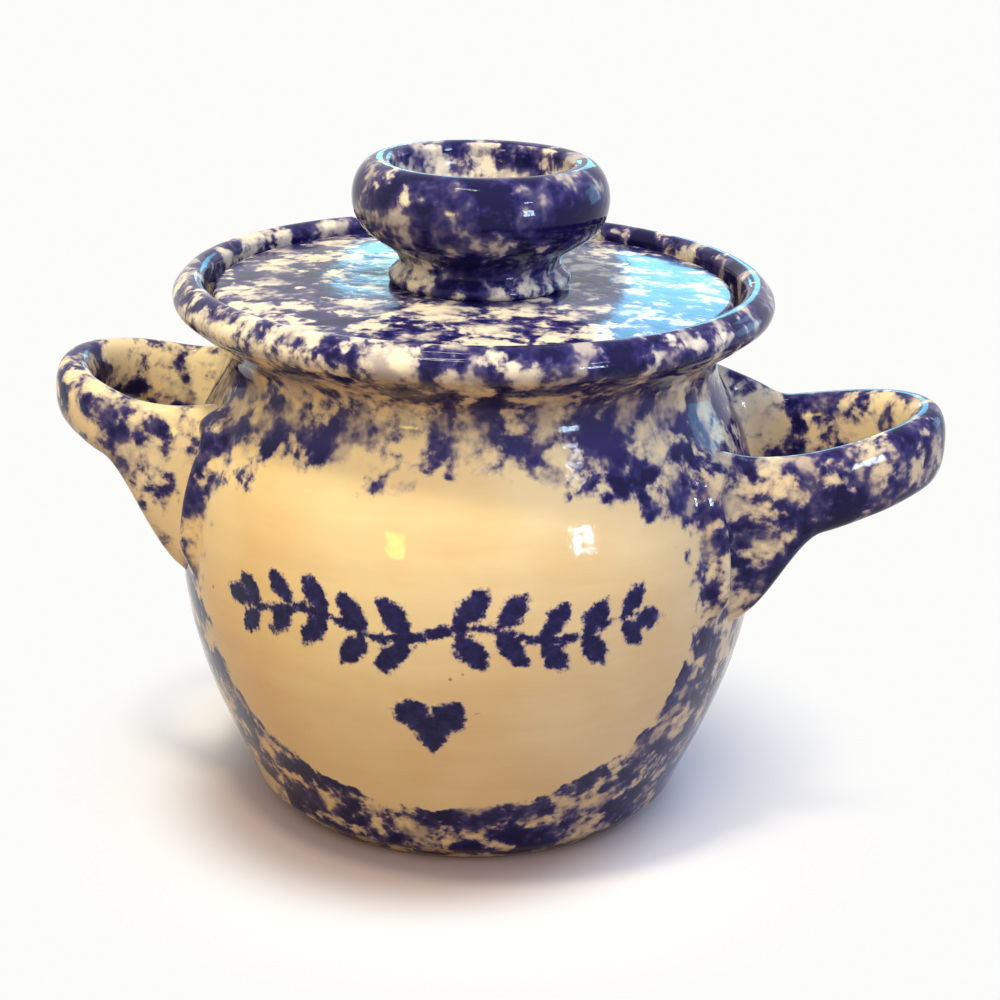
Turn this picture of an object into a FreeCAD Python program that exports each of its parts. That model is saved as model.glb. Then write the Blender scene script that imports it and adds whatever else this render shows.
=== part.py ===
"""A stoneware garlic keeper: a thrown pot with two pulled strap handles, and an inset lid with a cupped knob.

Five pieces of clay are made apart and luted together before firing: the pot, its left and right handles,
the lid plate and the knob. After firing two things come apart, the pot with its handles and the lid with
its knob. Millimetres, +Z up, the origin at the centre of the foot's flat underside, +X through the right
handle and -Y towards the front.
"""

import FreeCAD, Part
import math
import os

Vector = FreeCAD.Vector
AXIS = Vector(0, 0, 1)
CENTRE = Vector(0, 0, 0)

# ---- Pot: outside --------------------------------------------------------------------------------
FOOT_RADIUS = 39.2           # outer edge of the flat that the pot stands on
FOOT_BEVEL = 4.0             # the turned bevel between the foot and the wall
BASE_FLARE = 7.2             # how far the wall leans out as it leaves the bevel
BASE_RISE = 15.5
BELLY_RADIUS = 57.0          # the widest part
BELLY_HEIGHT = 54.0
BELLY_LOWER_FULLNESS = 20.0  # how far the belly stays upright below its widest part
BELLY_UPPER_FULLNESS = 22.0  # and above it
NECK_RADIUS = 47.2           # the narrowest part, under the rim
NECK_HEIGHT = 89.0
NECK_SOFTNESS = 5.0          # how gently the shoulder and the rim's underside turn into the neck

# ---- Pot: foot ring, wall and floor --------------------------------------------------------------
FOOT_RING_WIDTH = 5.2
FOOT_RECESS = 2.2            # depth of the turned hollow inside the foot ring
FOOT_RECESS_BEVEL = 1.6
WALL = 5.5
FLOOR = 5.4                  # clay between the foot recess and the inside
FLOOR_FLAT_RADIUS = 24.0
FLOOR_CORNER = 20.0          # how far the floor sweeps out before it turns up the wall

# ---- Pot: rim with the gallery that the lid sits in ----------------------------------------------
RIM_HEIGHT = 104.8           # the rim's crest
LIP_RADIUS = 57.3            # the outermost part of the rolled rim
LIP_DROP = 4.2               # the lip's widest line, under the crest
LIP_DEPTH = 6.6              # the lip's lower edge, under the crest
LIP_ROLL = 1.6               # how far that lower edge is turned in from the lip
LIP_UNDERSIDE = 5.0          # the straight slope under the lip, before it turns into the neck
CREST_OUTER_WIDTH = 2.6      # the crest's round, either side of its top
CREST_INNER_WIDTH = 2.1
CREST_SHOULDER = 1.5         # and its drop on both sides
LIP_OVERHANG = 3.9           # from the crest out to the lip
GALLERY_DEPTH = 7.6          # from the crest down to the ledge
GALLERY_CORNER = 0.8         # round where the ledge meets the gallery wall
LEDGE_WIDTH = 6.6
LEDGE_EDGE = 1.2             # round on the ledge's inner edge

# ---- Vent holes in the back wall -----------------------------------------------------------------
VENT_RADIUS = 3.0
VENT_PITCH = 15.0
VENT_HEIGHT = 54.0           # midway between the two rows
VENT_LOWER_COUNT = 3
VENT_UPPER_COUNT = 2
DRILL_LENGTH = 16.0          # of the round cutter, from well inside the wall to well outside it

# ---- Lid -----------------------------------------------------------------------------------------
LID_CLEARANCE = 1.6          # radial gap between the lid and the gallery wall
LID_THICKNESS = 5.0          # at the edge
LID_DOME = 0.8               # rise of the top from its edge to the knob's seat
LID_KNOB_SEAT_RADIUS = 19.0  # the flat that the knob is luted onto
LID_EDGE = 1.3               # round on the upper edge
LID_SEAT_WIDTH = 4.6         # the flat ring that rests on the ledge
LID_HOLLOW = 1.2             # depth of the trimmed underside inside the seat
LID_CHAMFER = 0.7            # broken lower edge

# ---- Knob ----------------------------------------------------------------------------------------
KNOB_OFFSET = 0.9            # the knob is luted on by eye, a little to the right of the lid's middle
KNOB_BEAD_RADIUS = 16.6      # the bead of slip where the knob is luted to the lid
KNOB_BEAD_HEIGHT = 2.4       # over the knob's seat, like all heights of the knob
KNOB_BEAD_BULGE = 0.8
KNOB_NECK_RADIUS = 15.4
KNOB_NECK_HEIGHT = 3.8
KNOB_NECK_RISE = 4.5         # how far the neck stays upright before it flares
KNOB_RADIUS = 24.6           # the widest line
KNOB_WIDEST_HEIGHT = 16.4
KNOB_UNDER_FULLNESS = 8.5    # how far the side stays upright below the widest line
KNOB_OVER_FULLNESS = 4.0     # and above it
KNOB_HEIGHT = 23.5           # the crest
KNOB_CREST_RADIUS = 19.8
KNOB_CREST_SOFTNESS = 2.3
KNOB_LIP = 2.6               # from the crest in to the edge of the cup
KNOB_LIP_DROP = 1.3
KNOB_CUP_DEPTH = 12.5
KNOB_CUP_FLOOR_RADIUS = 8.5
KNOB_CUP_CORNER = 5.0        # round between the cup's floor and its side

# ---- Handles -------------------------------------------------------------------------------------
# The two handles are pulled and set by hand: the left one is shorter, slimmer and sits higher.
RIGHT_REACH = 91.3           # from the pot's axis to the handle's outermost face
RIGHT_ROOT_TOP = 77.0        # top edge of the strap at the wall
RIGHT_TIP_TOP = 84.0         # and at its outer end
RIGHT_STRAP_HEIGHT = 16.5    # height of the strap where it leaves its tail
RIGHT_WEB_RISE = 6.5         # how far the back leg is smeared up towards the neck
LEFT_REACH = 82.3
LEFT_ROOT_TOP = 80.8
LEFT_TIP_TOP = 86.4
LEFT_STRAP_HEIGHT = 13.8
LEFT_WEB_RISE = 1.5
LEG_SPACING = 40.0           # between the centres of a handle's two legs
LEG_LENGTH = 5.0             # how far the legs run straight out from the wall
STRAP_THICKNESS = 7.4
STRAP_NARROWING = 2.5        # how much less tall the strap is at its outer end
STRAP_SQUARENESS = 2.5       # of its section: 2 is an ellipse, more is squarer
SECTION_POINTS = 14          # points round each section
BEND_STATIONS = 9            # sections round the bend
ROOT_HEIGHT = 31.0           # height of the strap's smoothed end on the wall, tail included
TAIL_RUN = 14.0              # how far out from the wall the tail reaches
WEB_RUN = 9.0                # how far out from the wall the smear above the back leg reaches
ROOT_SINK = 5.0              # how far inside the pot's outside each leg starts, before it is trimmed to it

# ---- Thumbed pads beside the legs ----------------------------------------------------------------
PAD_ANGLE = 27.0             # from the handle's middle to the pad's middle, round the pot
PAD_WIDTH = 16.0
PAD_HEIGHT = 25.5
PAD_THICKNESS = 2.5          # how far the pad stands off the wall
PAD_SINK = 0.3               # how far its edges lie under the wall's surface before it is trimmed to it
PAD_SQUARENESS = 2.6         # of its outline: 2 is an ellipse, more is squarer
PAD_SECTIONS = 7

# ---- Sizes that follow from the ones above -------------------------------------------------------
FLOOR_HEIGHT = FOOT_RECESS + FLOOR
LEDGE_HEIGHT = RIM_HEIGHT - GALLERY_DEPTH
CREST_RADIUS = LIP_RADIUS - LIP_OVERHANG
GALLERY_RADIUS = CREST_RADIUS - CREST_INNER_WIDTH
LEDGE_INNER_RADIUS = GALLERY_RADIUS - LEDGE_WIDTH
THROAT_RADIUS = NECK_RADIUS - WALL
LID_RADIUS = GALLERY_RADIUS - LID_CLEARANCE
LID_TOP = LEDGE_HEIGHT + LID_THICKNESS
KNOB_SEAT_HEIGHT = LID_TOP + LID_DOME


# ---- Small helpers -------------------------------------------------------------------------------
def at(radius, height):
    """A point of a turned profile, or a step from one such point to another, in the XZ plane."""
    return Vector(radius, 0, height)


def around(degrees, radius, height):
    """A point at an angle round the axis from +X."""
    radians = math.radians(degrees)
    return Vector(radius * math.cos(radians), radius * math.sin(radians), height)


def line(start, end):
    return Part.LineSegment(start, end).toShape()


def arc(start, middle, end):
    return Part.Arc(start, middle, end).toShape()


def curve(*poles):
    """A Bezier curve from the first pole to the last."""
    bezier = Part.BezierCurve()
    bezier.setPoles(list(poles))
    return bezier.toShape()


def corner_round(start, end, corner):
    """A quarter round from start to end, on the side of the corner that it takes off."""
    middle = (start + end) / 2
    return arc(start, middle + (corner - middle) * (math.sqrt(2) - 1), end)


def turned(edges):
    """The solid that a closed profile in the XZ plane makes when it is turned round the axis."""
    face = Part.Face(Part.Wire(edges))
    return face.revolve(CENTRE, AXIS, 360)


def smooth_fall(distance, run):
    """1 at no distance, 0 from the run on, and an S-shaped curve between them."""
    share = min(max(distance / run, 0), 1)
    return 1 - share * share * (3 - 2 * share)


def superellipse(share, squareness):
    """Half-width, from 0 to 1, at a share from -1 to 1 of the half-height."""
    return (1 - abs(share) ** squareness) ** (1 / squareness)


# ---- Pot -----------------------------------------------------------------------------------------
def outer_wall():
    """The pot's outside, from the foot's outer edge up to the lower edge of the lip."""
    bevel_top = at(FOOT_RADIUS + FOOT_BEVEL, FOOT_BEVEL)
    belly = at(BELLY_RADIUS, BELLY_HEIGHT)
    neck = at(NECK_RADIUS, NECK_HEIGHT)
    under_lip = at(LIP_RADIUS - LIP_ROLL, RIM_HEIGHT - LIP_DEPTH)
    slope = at(LIP_UNDERSIDE, LIP_UNDERSIDE) / math.sqrt(2)
    return [
        line(at(FOOT_RADIUS, 0), bevel_top),
        curve(bevel_top, bevel_top + at(BASE_FLARE, BASE_RISE), belly - at(0, BELLY_LOWER_FULLNESS), belly),
        curve(belly, belly + at(0, BELLY_UPPER_FULLNESS), neck - at(0, NECK_SOFTNESS), neck),
        curve(neck, neck + at(0, NECK_SOFTNESS), under_lip - slope, under_lip),
    ]


def rim():
    """The rolled lip, the crest and the gallery, from the lip's lower edge in to the ledge's inner edge."""
    under_lip = at(LIP_RADIUS - LIP_ROLL, RIM_HEIGHT - LIP_DEPTH)
    lip = at(LIP_RADIUS, RIM_HEIGHT - LIP_DROP)
    crest_outer = at(CREST_RADIUS + CREST_OUTER_WIDTH, RIM_HEIGHT - CREST_SHOULDER)
    crest = at(CREST_RADIUS, RIM_HEIGHT)
    crest_inner = at(GALLERY_RADIUS, RIM_HEIGHT - CREST_SHOULDER)
    gallery_foot = at(GALLERY_RADIUS, LEDGE_HEIGHT + GALLERY_CORNER)
    ledge_outer = at(GALLERY_RADIUS - GALLERY_CORNER, LEDGE_HEIGHT)
    ledge_inner = at(LEDGE_INNER_RADIUS + LEDGE_EDGE, LEDGE_HEIGHT)
    throat_top = at(LEDGE_INNER_RADIUS, LEDGE_HEIGHT - LEDGE_EDGE)
    return [
        arc(under_lip, lip, crest_outer),
        arc(crest_outer, crest, crest_inner),
        line(crest_inner, gallery_foot),
        corner_round(gallery_foot, ledge_outer, at(GALLERY_RADIUS, LEDGE_HEIGHT)),
        line(ledge_outer, ledge_inner),
        corner_round(ledge_inner, throat_top, at(LEDGE_INNER_RADIUS, LEDGE_HEIGHT)),
    ]


def inner_wall():
    """The inside, from under the ledge down to the middle of the floor."""
    throat_top = at(LEDGE_INNER_RADIUS, LEDGE_HEIGHT - LEDGE_EDGE)
    throat = at(THROAT_RADIUS, NECK_HEIGHT)
    belly = at(BELLY_RADIUS - WALL, BELLY_HEIGHT)
    floor_edge = at(FLOOR_FLAT_RADIUS, FLOOR_HEIGHT)
    return [
        curve(throat_top, throat_top - at(0, LEDGE_EDGE), throat + at(0, NECK_SOFTNESS / 2), throat),
        curve(throat, throat - at(0, NECK_SOFTNESS), belly + at(0, BELLY_UPPER_FULLNESS), belly),
        curve(belly, belly - at(0, BELLY_LOWER_FULLNESS), floor_edge + at(FLOOR_CORNER, 0), floor_edge),
        line(floor_edge, at(0, FLOOR_HEIGHT)),
    ]


def foot_underside():
    """From the middle of the floor through the turned recess out to the foot's outer edge."""
    ring_inner = at(FOOT_RADIUS - FOOT_RING_WIDTH, 0)
    recess_edge = ring_inner + at(-FOOT_RECESS_BEVEL, FOOT_RECESS)
    return [
        line(at(0, FLOOR_HEIGHT), at(0, FOOT_RECESS)),
        line(at(0, FOOT_RECESS), recess_edge),
        line(recess_edge, ring_inner),
        line(ring_inner, at(FOOT_RADIUS, 0)),
    ]


def vent_row(count, height):
    """Radial cutters for one row of vent holes, centred on the back and on the thickness of the wall."""
    step = math.degrees(VENT_PITCH / BELLY_RADIUS)
    start = BELLY_RADIUS - (WALL + DRILL_LENGTH) / 2
    cutters = []
    for index in range(count):
        angle = 90 + (index - (count - 1) / 2) * step
        cutters.append(
            Part.makeCylinder(VENT_RADIUS, DRILL_LENGTH, around(angle, start, height), around(angle, 1, 0))
        )
    return cutters


def pot():
    lower = vent_row(VENT_LOWER_COUNT, VENT_HEIGHT - VENT_PITCH / 2)
    upper = vent_row(VENT_UPPER_COUNT, VENT_HEIGHT + VENT_PITCH / 2)
    return turned(outer_wall() + rim() + inner_wall() + foot_underside()).cut(lower + upper)


def pot_envelope():
    """The pot's outer form as a filled solid, which trims what is luted onto it."""
    under_lip = at(LIP_RADIUS - LIP_ROLL, RIM_HEIGHT - LIP_DEPTH)
    top = at(0, RIM_HEIGHT - LIP_DEPTH)
    return turned(outer_wall() + [line(under_lip, top), line(top, CENTRE), line(CENTRE, at(FOOT_RADIUS, 0))])


# ---- Lid and knob --------------------------------------------------------------------------------
def lid_plate():
    top_middle = at(0, KNOB_SEAT_HEIGHT)
    knob_seat = at(LID_KNOB_SEAT_RADIUS, KNOB_SEAT_HEIGHT)
    slope_middle = at((LID_KNOB_SEAT_RADIUS + LID_RADIUS) / 2, KNOB_SEAT_HEIGHT)
    edge_top = at(LID_RADIUS - LID_EDGE, LID_TOP)
    edge_side = at(LID_RADIUS, LID_TOP - LID_EDGE)
    chamfer_top = at(LID_RADIUS, LEDGE_HEIGHT + LID_CHAMFER)
    seat_outer = at(LID_RADIUS - LID_CHAMFER, LEDGE_HEIGHT)
    seat_inner = at(LID_RADIUS - LID_SEAT_WIDTH, LEDGE_HEIGHT)
    hollow_edge = seat_inner + at(-LID_HOLLOW, LID_HOLLOW)
    hollow_middle = at(0, LEDGE_HEIGHT + LID_HOLLOW)
    return turned(
        [
            line(top_middle, knob_seat),
            curve(knob_seat, slope_middle, edge_top),
            corner_round(edge_top, edge_side, at(LID_RADIUS, LID_TOP)),
            line(edge_side, chamfer_top),
            line(chamfer_top, seat_outer),
            line(seat_outer, seat_inner),
            line(seat_inner, hollow_edge),
            line(hollow_edge, hollow_middle),
            line(hollow_middle, top_middle),
        ]
    )


def knob():
    """The cupped knob, which seats with its whole flat foot on the middle of the lid's top."""
    foot_middle = at(0, KNOB_SEAT_HEIGHT)
    bead_low = at(KNOB_BEAD_RADIUS, KNOB_SEAT_HEIGHT)
    bead = at(KNOB_BEAD_RADIUS + KNOB_BEAD_BULGE, KNOB_SEAT_HEIGHT + KNOB_BEAD_HEIGHT / 2)
    bead_high = at(KNOB_BEAD_RADIUS, KNOB_SEAT_HEIGHT + KNOB_BEAD_HEIGHT)
    neck = at(KNOB_NECK_RADIUS, KNOB_SEAT_HEIGHT + KNOB_NECK_HEIGHT)
    widest = at(KNOB_RADIUS, KNOB_SEAT_HEIGHT + KNOB_WIDEST_HEIGHT)
    crest = at(KNOB_CREST_RADIUS, KNOB_SEAT_HEIGHT + KNOB_HEIGHT)
    cup_rim = crest - at(KNOB_LIP, KNOB_LIP_DROP)
    cup_edge = at(KNOB_CUP_FLOOR_RADIUS, crest.z - KNOB_CUP_DEPTH)
    cup_middle = at(0, cup_edge.z)
    solid = turned(
        [
            line(foot_middle, bead_low),
            arc(bead_low, bead, bead_high),
            line(bead_high, neck),
            curve(neck, neck + at(0, KNOB_NECK_RISE), widest - at(0, KNOB_UNDER_FULLNESS), widest),
            curve(widest, widest + at(0, KNOB_OVER_FULLNESS), crest + at(KNOB_CREST_SOFTNESS, 0), crest),
            curve(crest, crest - at(KNOB_LIP, 0), cup_rim),
            curve(cup_rim, cup_rim - at(0, KNOB_CUP_DEPTH / 2), cup_edge + at(KNOB_CUP_CORNER, 0), cup_edge),
            line(cup_edge, cup_middle),
            line(cup_middle, foot_middle),
        ]
    )
    solid.translate(Vector(KNOB_OFFSET, 0, 0))
    return solid


# ---- Handles -------------------------------------------------------------------------------------
def strap_section(centre, outward, height):
    """A closed rounded section across the strap, upright, with outward as its horizontal direction."""
    points = []
    for index in range(SECTION_POINTS):
        angle = 2 * math.pi * index / SECTION_POINTS
        cosine, sine = math.cos(angle), math.sin(angle)
        across = math.copysign(abs(cosine) ** (2 / STRAP_SQUARENESS), cosine) * STRAP_THICKNESS / 2
        up = math.copysign(abs(sine) ** (2 / STRAP_SQUARENESS), sine) * height / 2
        points.append(centre + outward * across + Vector(0, 0, up))
    spline = Part.BSplineCurve()
    spline.interpolate(Points=points, PeriodicFlag=True)
    return Part.Wire(spline.toShape())


def strap_plan(reach):
    """Points in plan from the front leg's root round the bend to the back leg's, each with its outward
    direction. The legs run straight, and the bend is half an ellipse."""
    half = LEG_SPACING / 2
    wall = math.sqrt(BELLY_RADIUS**2 - half**2)
    bend_start = wall + LEG_LENGTH
    bend = reach - STRAP_THICKNESS / 2 - bend_start
    leg_stations = (wall - ROOT_SINK, wall, wall + LEG_LENGTH / 2)
    front_leg = [(Vector(x, -half, 0), Vector(0, -1, 0)) for x in leg_stations]
    turn = []
    for index in range(BEND_STATIONS):
        angle = math.pi * (index / (BEND_STATIONS - 1) - 0.5)
        outward = Vector(math.cos(angle) * half, math.sin(angle) * bend, 0)
        outward.normalize()
        turn.append((Vector(bend_start + bend * math.cos(angle), half * math.sin(angle), 0), outward))
    back_leg = [(Vector(plan.x, -plan.y, 0), outward * -1) for plan, outward in reversed(front_leg)]
    return front_leg + turn + back_leg


def strap(reach, root_top, tip_top, strap_height, web_rise):
    """The pulled strap. Its top edge rises to the tip, its ends run down the wall in a tail, and the back
    leg is smeared up towards the neck."""
    wall = math.sqrt(BELLY_RADIUS**2 - (LEG_SPACING / 2) ** 2)
    length = reach - STRAP_THICKNESS / 2 - wall
    sections = []
    for plan, outward in strap_plan(reach):
        out = plan.x - wall
        rise = 1 - smooth_fall(out, length)
        web = web_rise * smooth_fall(out + ROOT_SINK, WEB_RUN + ROOT_SINK) if plan.y > 0 else 0
        top = root_top + (tip_top - root_top) * rise + web
        tail = (ROOT_HEIGHT - strap_height) * smooth_fall(out, TAIL_RUN)
        height = strap_height - STRAP_NARROWING * rise + tail + web
        sections.append(strap_section(plan + Vector(0, 0, top - height / 2), outward, height))
    return Part.makeLoft(sections, True, False)


def wall_radius(envelope, height):
    """The pot's outer radius at a height."""
    return envelope.slice(AXIS, height)[0].BoundBox.XMax


def thumbed_pad(envelope, side, top):
    """The tongue of clay thumbed onto the wall beside one leg: side is -1 at the front, 1 at the back."""
    sections = []
    for index in range(PAD_SECTIONS):
        share = math.sin(math.pi * ((index + 0.5) / PAD_SECTIONS - 0.5))
        height = top - PAD_HEIGHT / 2 * (1 - share)
        radius = wall_radius(envelope, height)
        width = superellipse(share, PAD_SQUARENESS)
        spread = math.degrees(PAD_WIDTH / 2 * width / radius)
        near = around(side * PAD_ANGLE - spread, radius - PAD_SINK, height)
        proud = around(side * PAD_ANGLE, radius + PAD_THICKNESS * width, height)
        far = around(side * PAD_ANGLE + spread, radius - PAD_SINK, height)
        sunk = around(side * PAD_ANGLE, radius - PAD_THICKNESS * width, height)
        sections.append(Part.Wire([arc(near, proud, far), arc(far, sunk, near)]))
    return Part.makeLoft(sections, True, False)


def handle(envelope, reach, root_top, tip_top, strap_height, web_rise):
    """A whole handle on the +X side, trimmed to the pot's outside so that it seats on it."""
    pads = [thumbed_pad(envelope, side, root_top) for side in (-1, 1)]
    return strap(reach, root_top, tip_top, strap_height, web_rise).fuse(pads).cut(envelope)


# ---- Build ---------------------------------------------------------------------------------------
def build():
    envelope = pot_envelope()
    right = handle(envelope, RIGHT_REACH, RIGHT_ROOT_TOP, RIGHT_TIP_TOP, RIGHT_STRAP_HEIGHT, RIGHT_WEB_RISE)
    left = handle(envelope, LEFT_REACH, LEFT_ROOT_TOP, LEFT_TIP_TOP, LEFT_STRAP_HEIGHT, LEFT_WEB_RISE)
    return {
        "pot_body": pot(),
        "right_handle": right,
        "left_handle": left.mirror(CENTRE, Vector(1, 0, 0)),
        "lid_plate": lid_plate(),
        "lid_knob": knob(),
    }


os.makedirs("parts", exist_ok=True)
for name, shape in build().items():
    piece = shape.Solids[0]
    piece.exportStep(os.path.join("parts", name + ".step"))
    print(name, "solids", len(shape.Solids), "valid", piece.isValid(), "cm3", round(piece.Volume / 1000, 2))
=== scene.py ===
# %% [markdown]
# # A sponged stoneware garlic keeper
# The real object is a small thrown pot with two pulled handles and an inset lid with a cupped knob. Cobalt
# blue was dabbed on with a sponge, a clear glaze went over it, and the kiln made all of it hard and glossy.
# The imported CAD model gives every size and place. The first cell loads it and prints each part's box.
# Nothing that is made here may stand outside that box.

# %% Load the imported model
import math
from functools import partial
import bmesh
import bpy
import numpy as np
from mathutils import Matrix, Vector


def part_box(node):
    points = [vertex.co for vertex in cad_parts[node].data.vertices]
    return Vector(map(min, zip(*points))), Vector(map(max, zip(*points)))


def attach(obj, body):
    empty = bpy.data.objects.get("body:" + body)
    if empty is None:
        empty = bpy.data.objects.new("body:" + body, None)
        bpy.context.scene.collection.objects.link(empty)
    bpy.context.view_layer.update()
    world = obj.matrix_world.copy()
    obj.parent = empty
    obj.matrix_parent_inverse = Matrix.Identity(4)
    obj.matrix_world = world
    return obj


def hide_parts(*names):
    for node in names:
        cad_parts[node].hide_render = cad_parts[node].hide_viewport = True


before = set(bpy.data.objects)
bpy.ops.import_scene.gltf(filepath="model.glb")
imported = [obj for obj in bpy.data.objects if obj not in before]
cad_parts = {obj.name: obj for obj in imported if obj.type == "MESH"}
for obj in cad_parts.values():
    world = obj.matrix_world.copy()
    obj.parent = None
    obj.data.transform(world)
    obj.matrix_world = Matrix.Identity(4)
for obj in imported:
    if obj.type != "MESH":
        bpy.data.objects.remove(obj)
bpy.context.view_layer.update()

MM = 0.001
for name in sorted(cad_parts):
    low, high = (np.array(corner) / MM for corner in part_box(name))
    print(name, "low", low.round(1), "high", high.round(1), "mm")

# %% [markdown]
# ## Profiles
# Everything a potter turns is one outline carried round an axis. In Blender that can be a Screw modifier, a
# Spin or a grid of points worked out with numpy. The grid is chosen, because the pot's skin then can be
# pushed in and out freely, and because the rows can lie closer together where the form turns tightly. An
# outline is a list of short stretches: straight lines, three-point arcs, and Bezier curves, all in
# millimetres as (radius, height).

# %% Stretches of an outline
def straight(start, end, count):
    """Points on the line from start to end, without the end."""
    share = np.arange(count)[:, None] / count
    return np.array(start) * (1 - share) + np.array(end) * share


def bezier(start, leave, arrive, end, count):
    """A cubic Bezier: four poles weighted by the Bernstein polynomials, spaced evenly along its length. The
    inner poles are given by how far they lie from the start and from the end."""
    t = np.linspace(0, 1, 400)[:, None]
    weights = np.hstack([(1 - t) ** 3, 3 * (1 - t) ** 2 * t, 3 * (1 - t) * t**2, t**3])
    poles = [start, np.add(start, leave), np.add(end, arrive), end]
    return evenly(weights @ np.array(poles, float), count)


def arc(start, middle, end, count):
    """Part of the circle through three points. Its centre is where the chords' bisectors cross."""
    a, b, c = (np.array(p, float) for p in (start, middle, end))
    centre = np.linalg.solve(2 * np.array([b - a, c - a]), [b @ b - a @ a, c @ c - a @ a])
    angles = np.unwrap([math.atan2(*(p - centre)[::-1]) for p in (a, b, c)])
    t = np.linspace(angles[0], angles[2], 200)
    return evenly(centre + np.linalg.norm(a - centre) * np.column_stack([np.cos(t), np.sin(t)]), count)


def evenly(points, count):
    """The same line with count points evenly spaced along its length, without its end point."""
    length = np.concatenate([[0], np.cumsum(np.linalg.norm(np.diff(points, axis=0), axis=1))])
    places = np.arange(count) / count * length[-1]
    return np.column_stack([np.interp(places, length, points[:, axis]) for axis in range(points.shape[1])])


def corner_round(start, end, corner, count):
    """A quarter round that takes a square corner off."""
    start, end, corner = (np.array(p, float) for p in (start, end, corner))
    middle = (start + end) / 2
    return arc(start, middle + (corner - middle) * (math.sqrt(2) - 1), end, count)


def moved(point, out, up):
    """A point further out and higher up."""
    return point[0] + out, point[1] + up


def smooth_fall(distance, run):
    """1 at no distance, 0 from the run on, and an S-shaped curve between them."""
    share = np.clip(distance / run, 0, 1)
    return 1 - share * share * (3 - 2 * share)


# %% [markdown]
# ## From a grid to a mesh
# A turned piece is a grid of rows and columns whose columns close on themselves, with one point at each end
# of the axis. A pulled strap is the same thing with the path in place of the outline. So one function makes
# both: it joins neighbours into quads and closes both ends with a fan, which leaves no hole anywhere.

# %% Mesh from a closed grid
def tube_mesh(name, grid, first_pole, last_pole):
    """Quads between the rows of a grid of points (rows, columns, 3) in mm, closed along the columns, and a
    fan from each end row to its pole. The rows and columns run so that the faces point outwards."""
    rows, columns = grid.shape[:2]
    points = np.vstack([grid.reshape(-1, 3), first_pole, last_pole]) * MM
    index = np.arange(rows * columns).reshape(rows, columns)
    right = np.roll(index, -1, axis=1)
    quads = np.stack([index[:-1], index[1:], right[1:], right[:-1]], axis=-1).reshape(-1, 4)
    first = np.stack([np.full(columns, rows * columns), index[0], right[0]], axis=-1)
    last = np.stack([np.full(columns, rows * columns + 1), right[-1], index[-1]], axis=-1)
    mesh = bpy.data.meshes.new(name)
    mesh.from_pydata(points.tolist(), [], quads.tolist() + first.tolist() + last.tolist())
    mesh.polygons.foreach_set("use_smooth", np.ones(len(mesh.polygons), bool))
    mesh.update()
    return mesh


def add_object(name, data):
    """A mesh, a lamp or a camera as a new object in the scene."""
    made = bpy.data.objects.new(name, data)
    bpy.context.scene.collection.objects.link(made)
    return made


def add_piece(name, mesh, body, slot, *nodes):
    """Puts a mesh into the scene as a piece that rides on a CAD body and stands for CAD nodes."""
    piece = add_object(name, mesh)
    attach(piece, body)
    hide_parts(*nodes)
    print(name, "faces", len(mesh.polygons))
    return piece


def points_of(mesh):
    """The mesh's points in mm as an array (count, 3)."""
    flat = np.empty(len(mesh.vertices) * 3, np.float32)
    mesh.vertices.foreach_get("co", flat)
    return flat.reshape(-1, 3).astype(float) / MM


def write_attribute(mesh, name, values):
    """One number for each point of the mesh, for its material to read."""
    mesh.attributes.new(name, "FLOAT", "POINT").data.foreach_set("value", np.asarray(values, np.float32))


# %% [markdown]
# ## The pot's outline
# The pot starts on a narrow foot, swells into a full belly, draws in at the neck and rolls out into a heavy
# rim with a gallery for the lid. The outline below goes from the middle of the floor up the inside, over the
# rim, down the outside and under the foot. Rows are dense on the outside, where the handles and the sponging
# are, and sparse inside, where only the garlic sees them.

# %% Sizes of the pot in mm
FOOT_RADIUS, FOOT_BEVEL, FOOT_RING_WIDTH = 39.2, 4.0, 5.2
FOOT_RECESS, FOOT_RECESS_BEVEL, FOOT_SOFTNESS = 2.2, 1.6, 0.5
BASE_FLARE, BASE_RISE = 7.2, 15.5
BELLY_RADIUS, BELLY_HEIGHT = 57.0, 54.0
BELLY_LOWER_FULLNESS, BELLY_UPPER_FULLNESS = 20.0, 22.0
NECK_RADIUS, NECK_HEIGHT, NECK_SOFTNESS = 47.2, 89.0, 5.0
WALL, FLOOR, FLOOR_FLAT_RADIUS, FLOOR_CORNER = 5.5, 5.4, 24.0, 20.0
RIM_HEIGHT, LIP_RADIUS, LIP_DROP, LIP_DEPTH, LIP_ROLL, LIP_UNDERSIDE = 104.8, 57.3, 4.2, 6.6, 1.6, 5.0
CREST_OUTER_WIDTH, CREST_INNER_WIDTH, CREST_SHOULDER, LIP_OVERHANG = 2.6, 2.1, 1.5, 3.9
GALLERY_DEPTH, GALLERY_CORNER, LEDGE_WIDTH, LEDGE_EDGE = 7.6, 0.8, 6.6, 1.2
POT_HUB, LID_HUB, CUP_HUB = 0.8, 0.6, 0.5    # radius of the innermost ring, which a fan closes

FLOOR_HEIGHT = FOOT_RECESS + FLOOR
LEDGE_HEIGHT = RIM_HEIGHT - GALLERY_DEPTH
CREST_RADIUS = LIP_RADIUS - LIP_OVERHANG
GALLERY_RADIUS = CREST_RADIUS - CREST_INNER_WIDTH
LEDGE_INNER_RADIUS = GALLERY_RADIUS - LEDGE_WIDTH
THROAT_RADIUS = NECK_RADIUS - WALL
print("throat radius", round(THROAT_RADIUS, 1), "gallery radius", round(GALLERY_RADIUS, 1))

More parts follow.
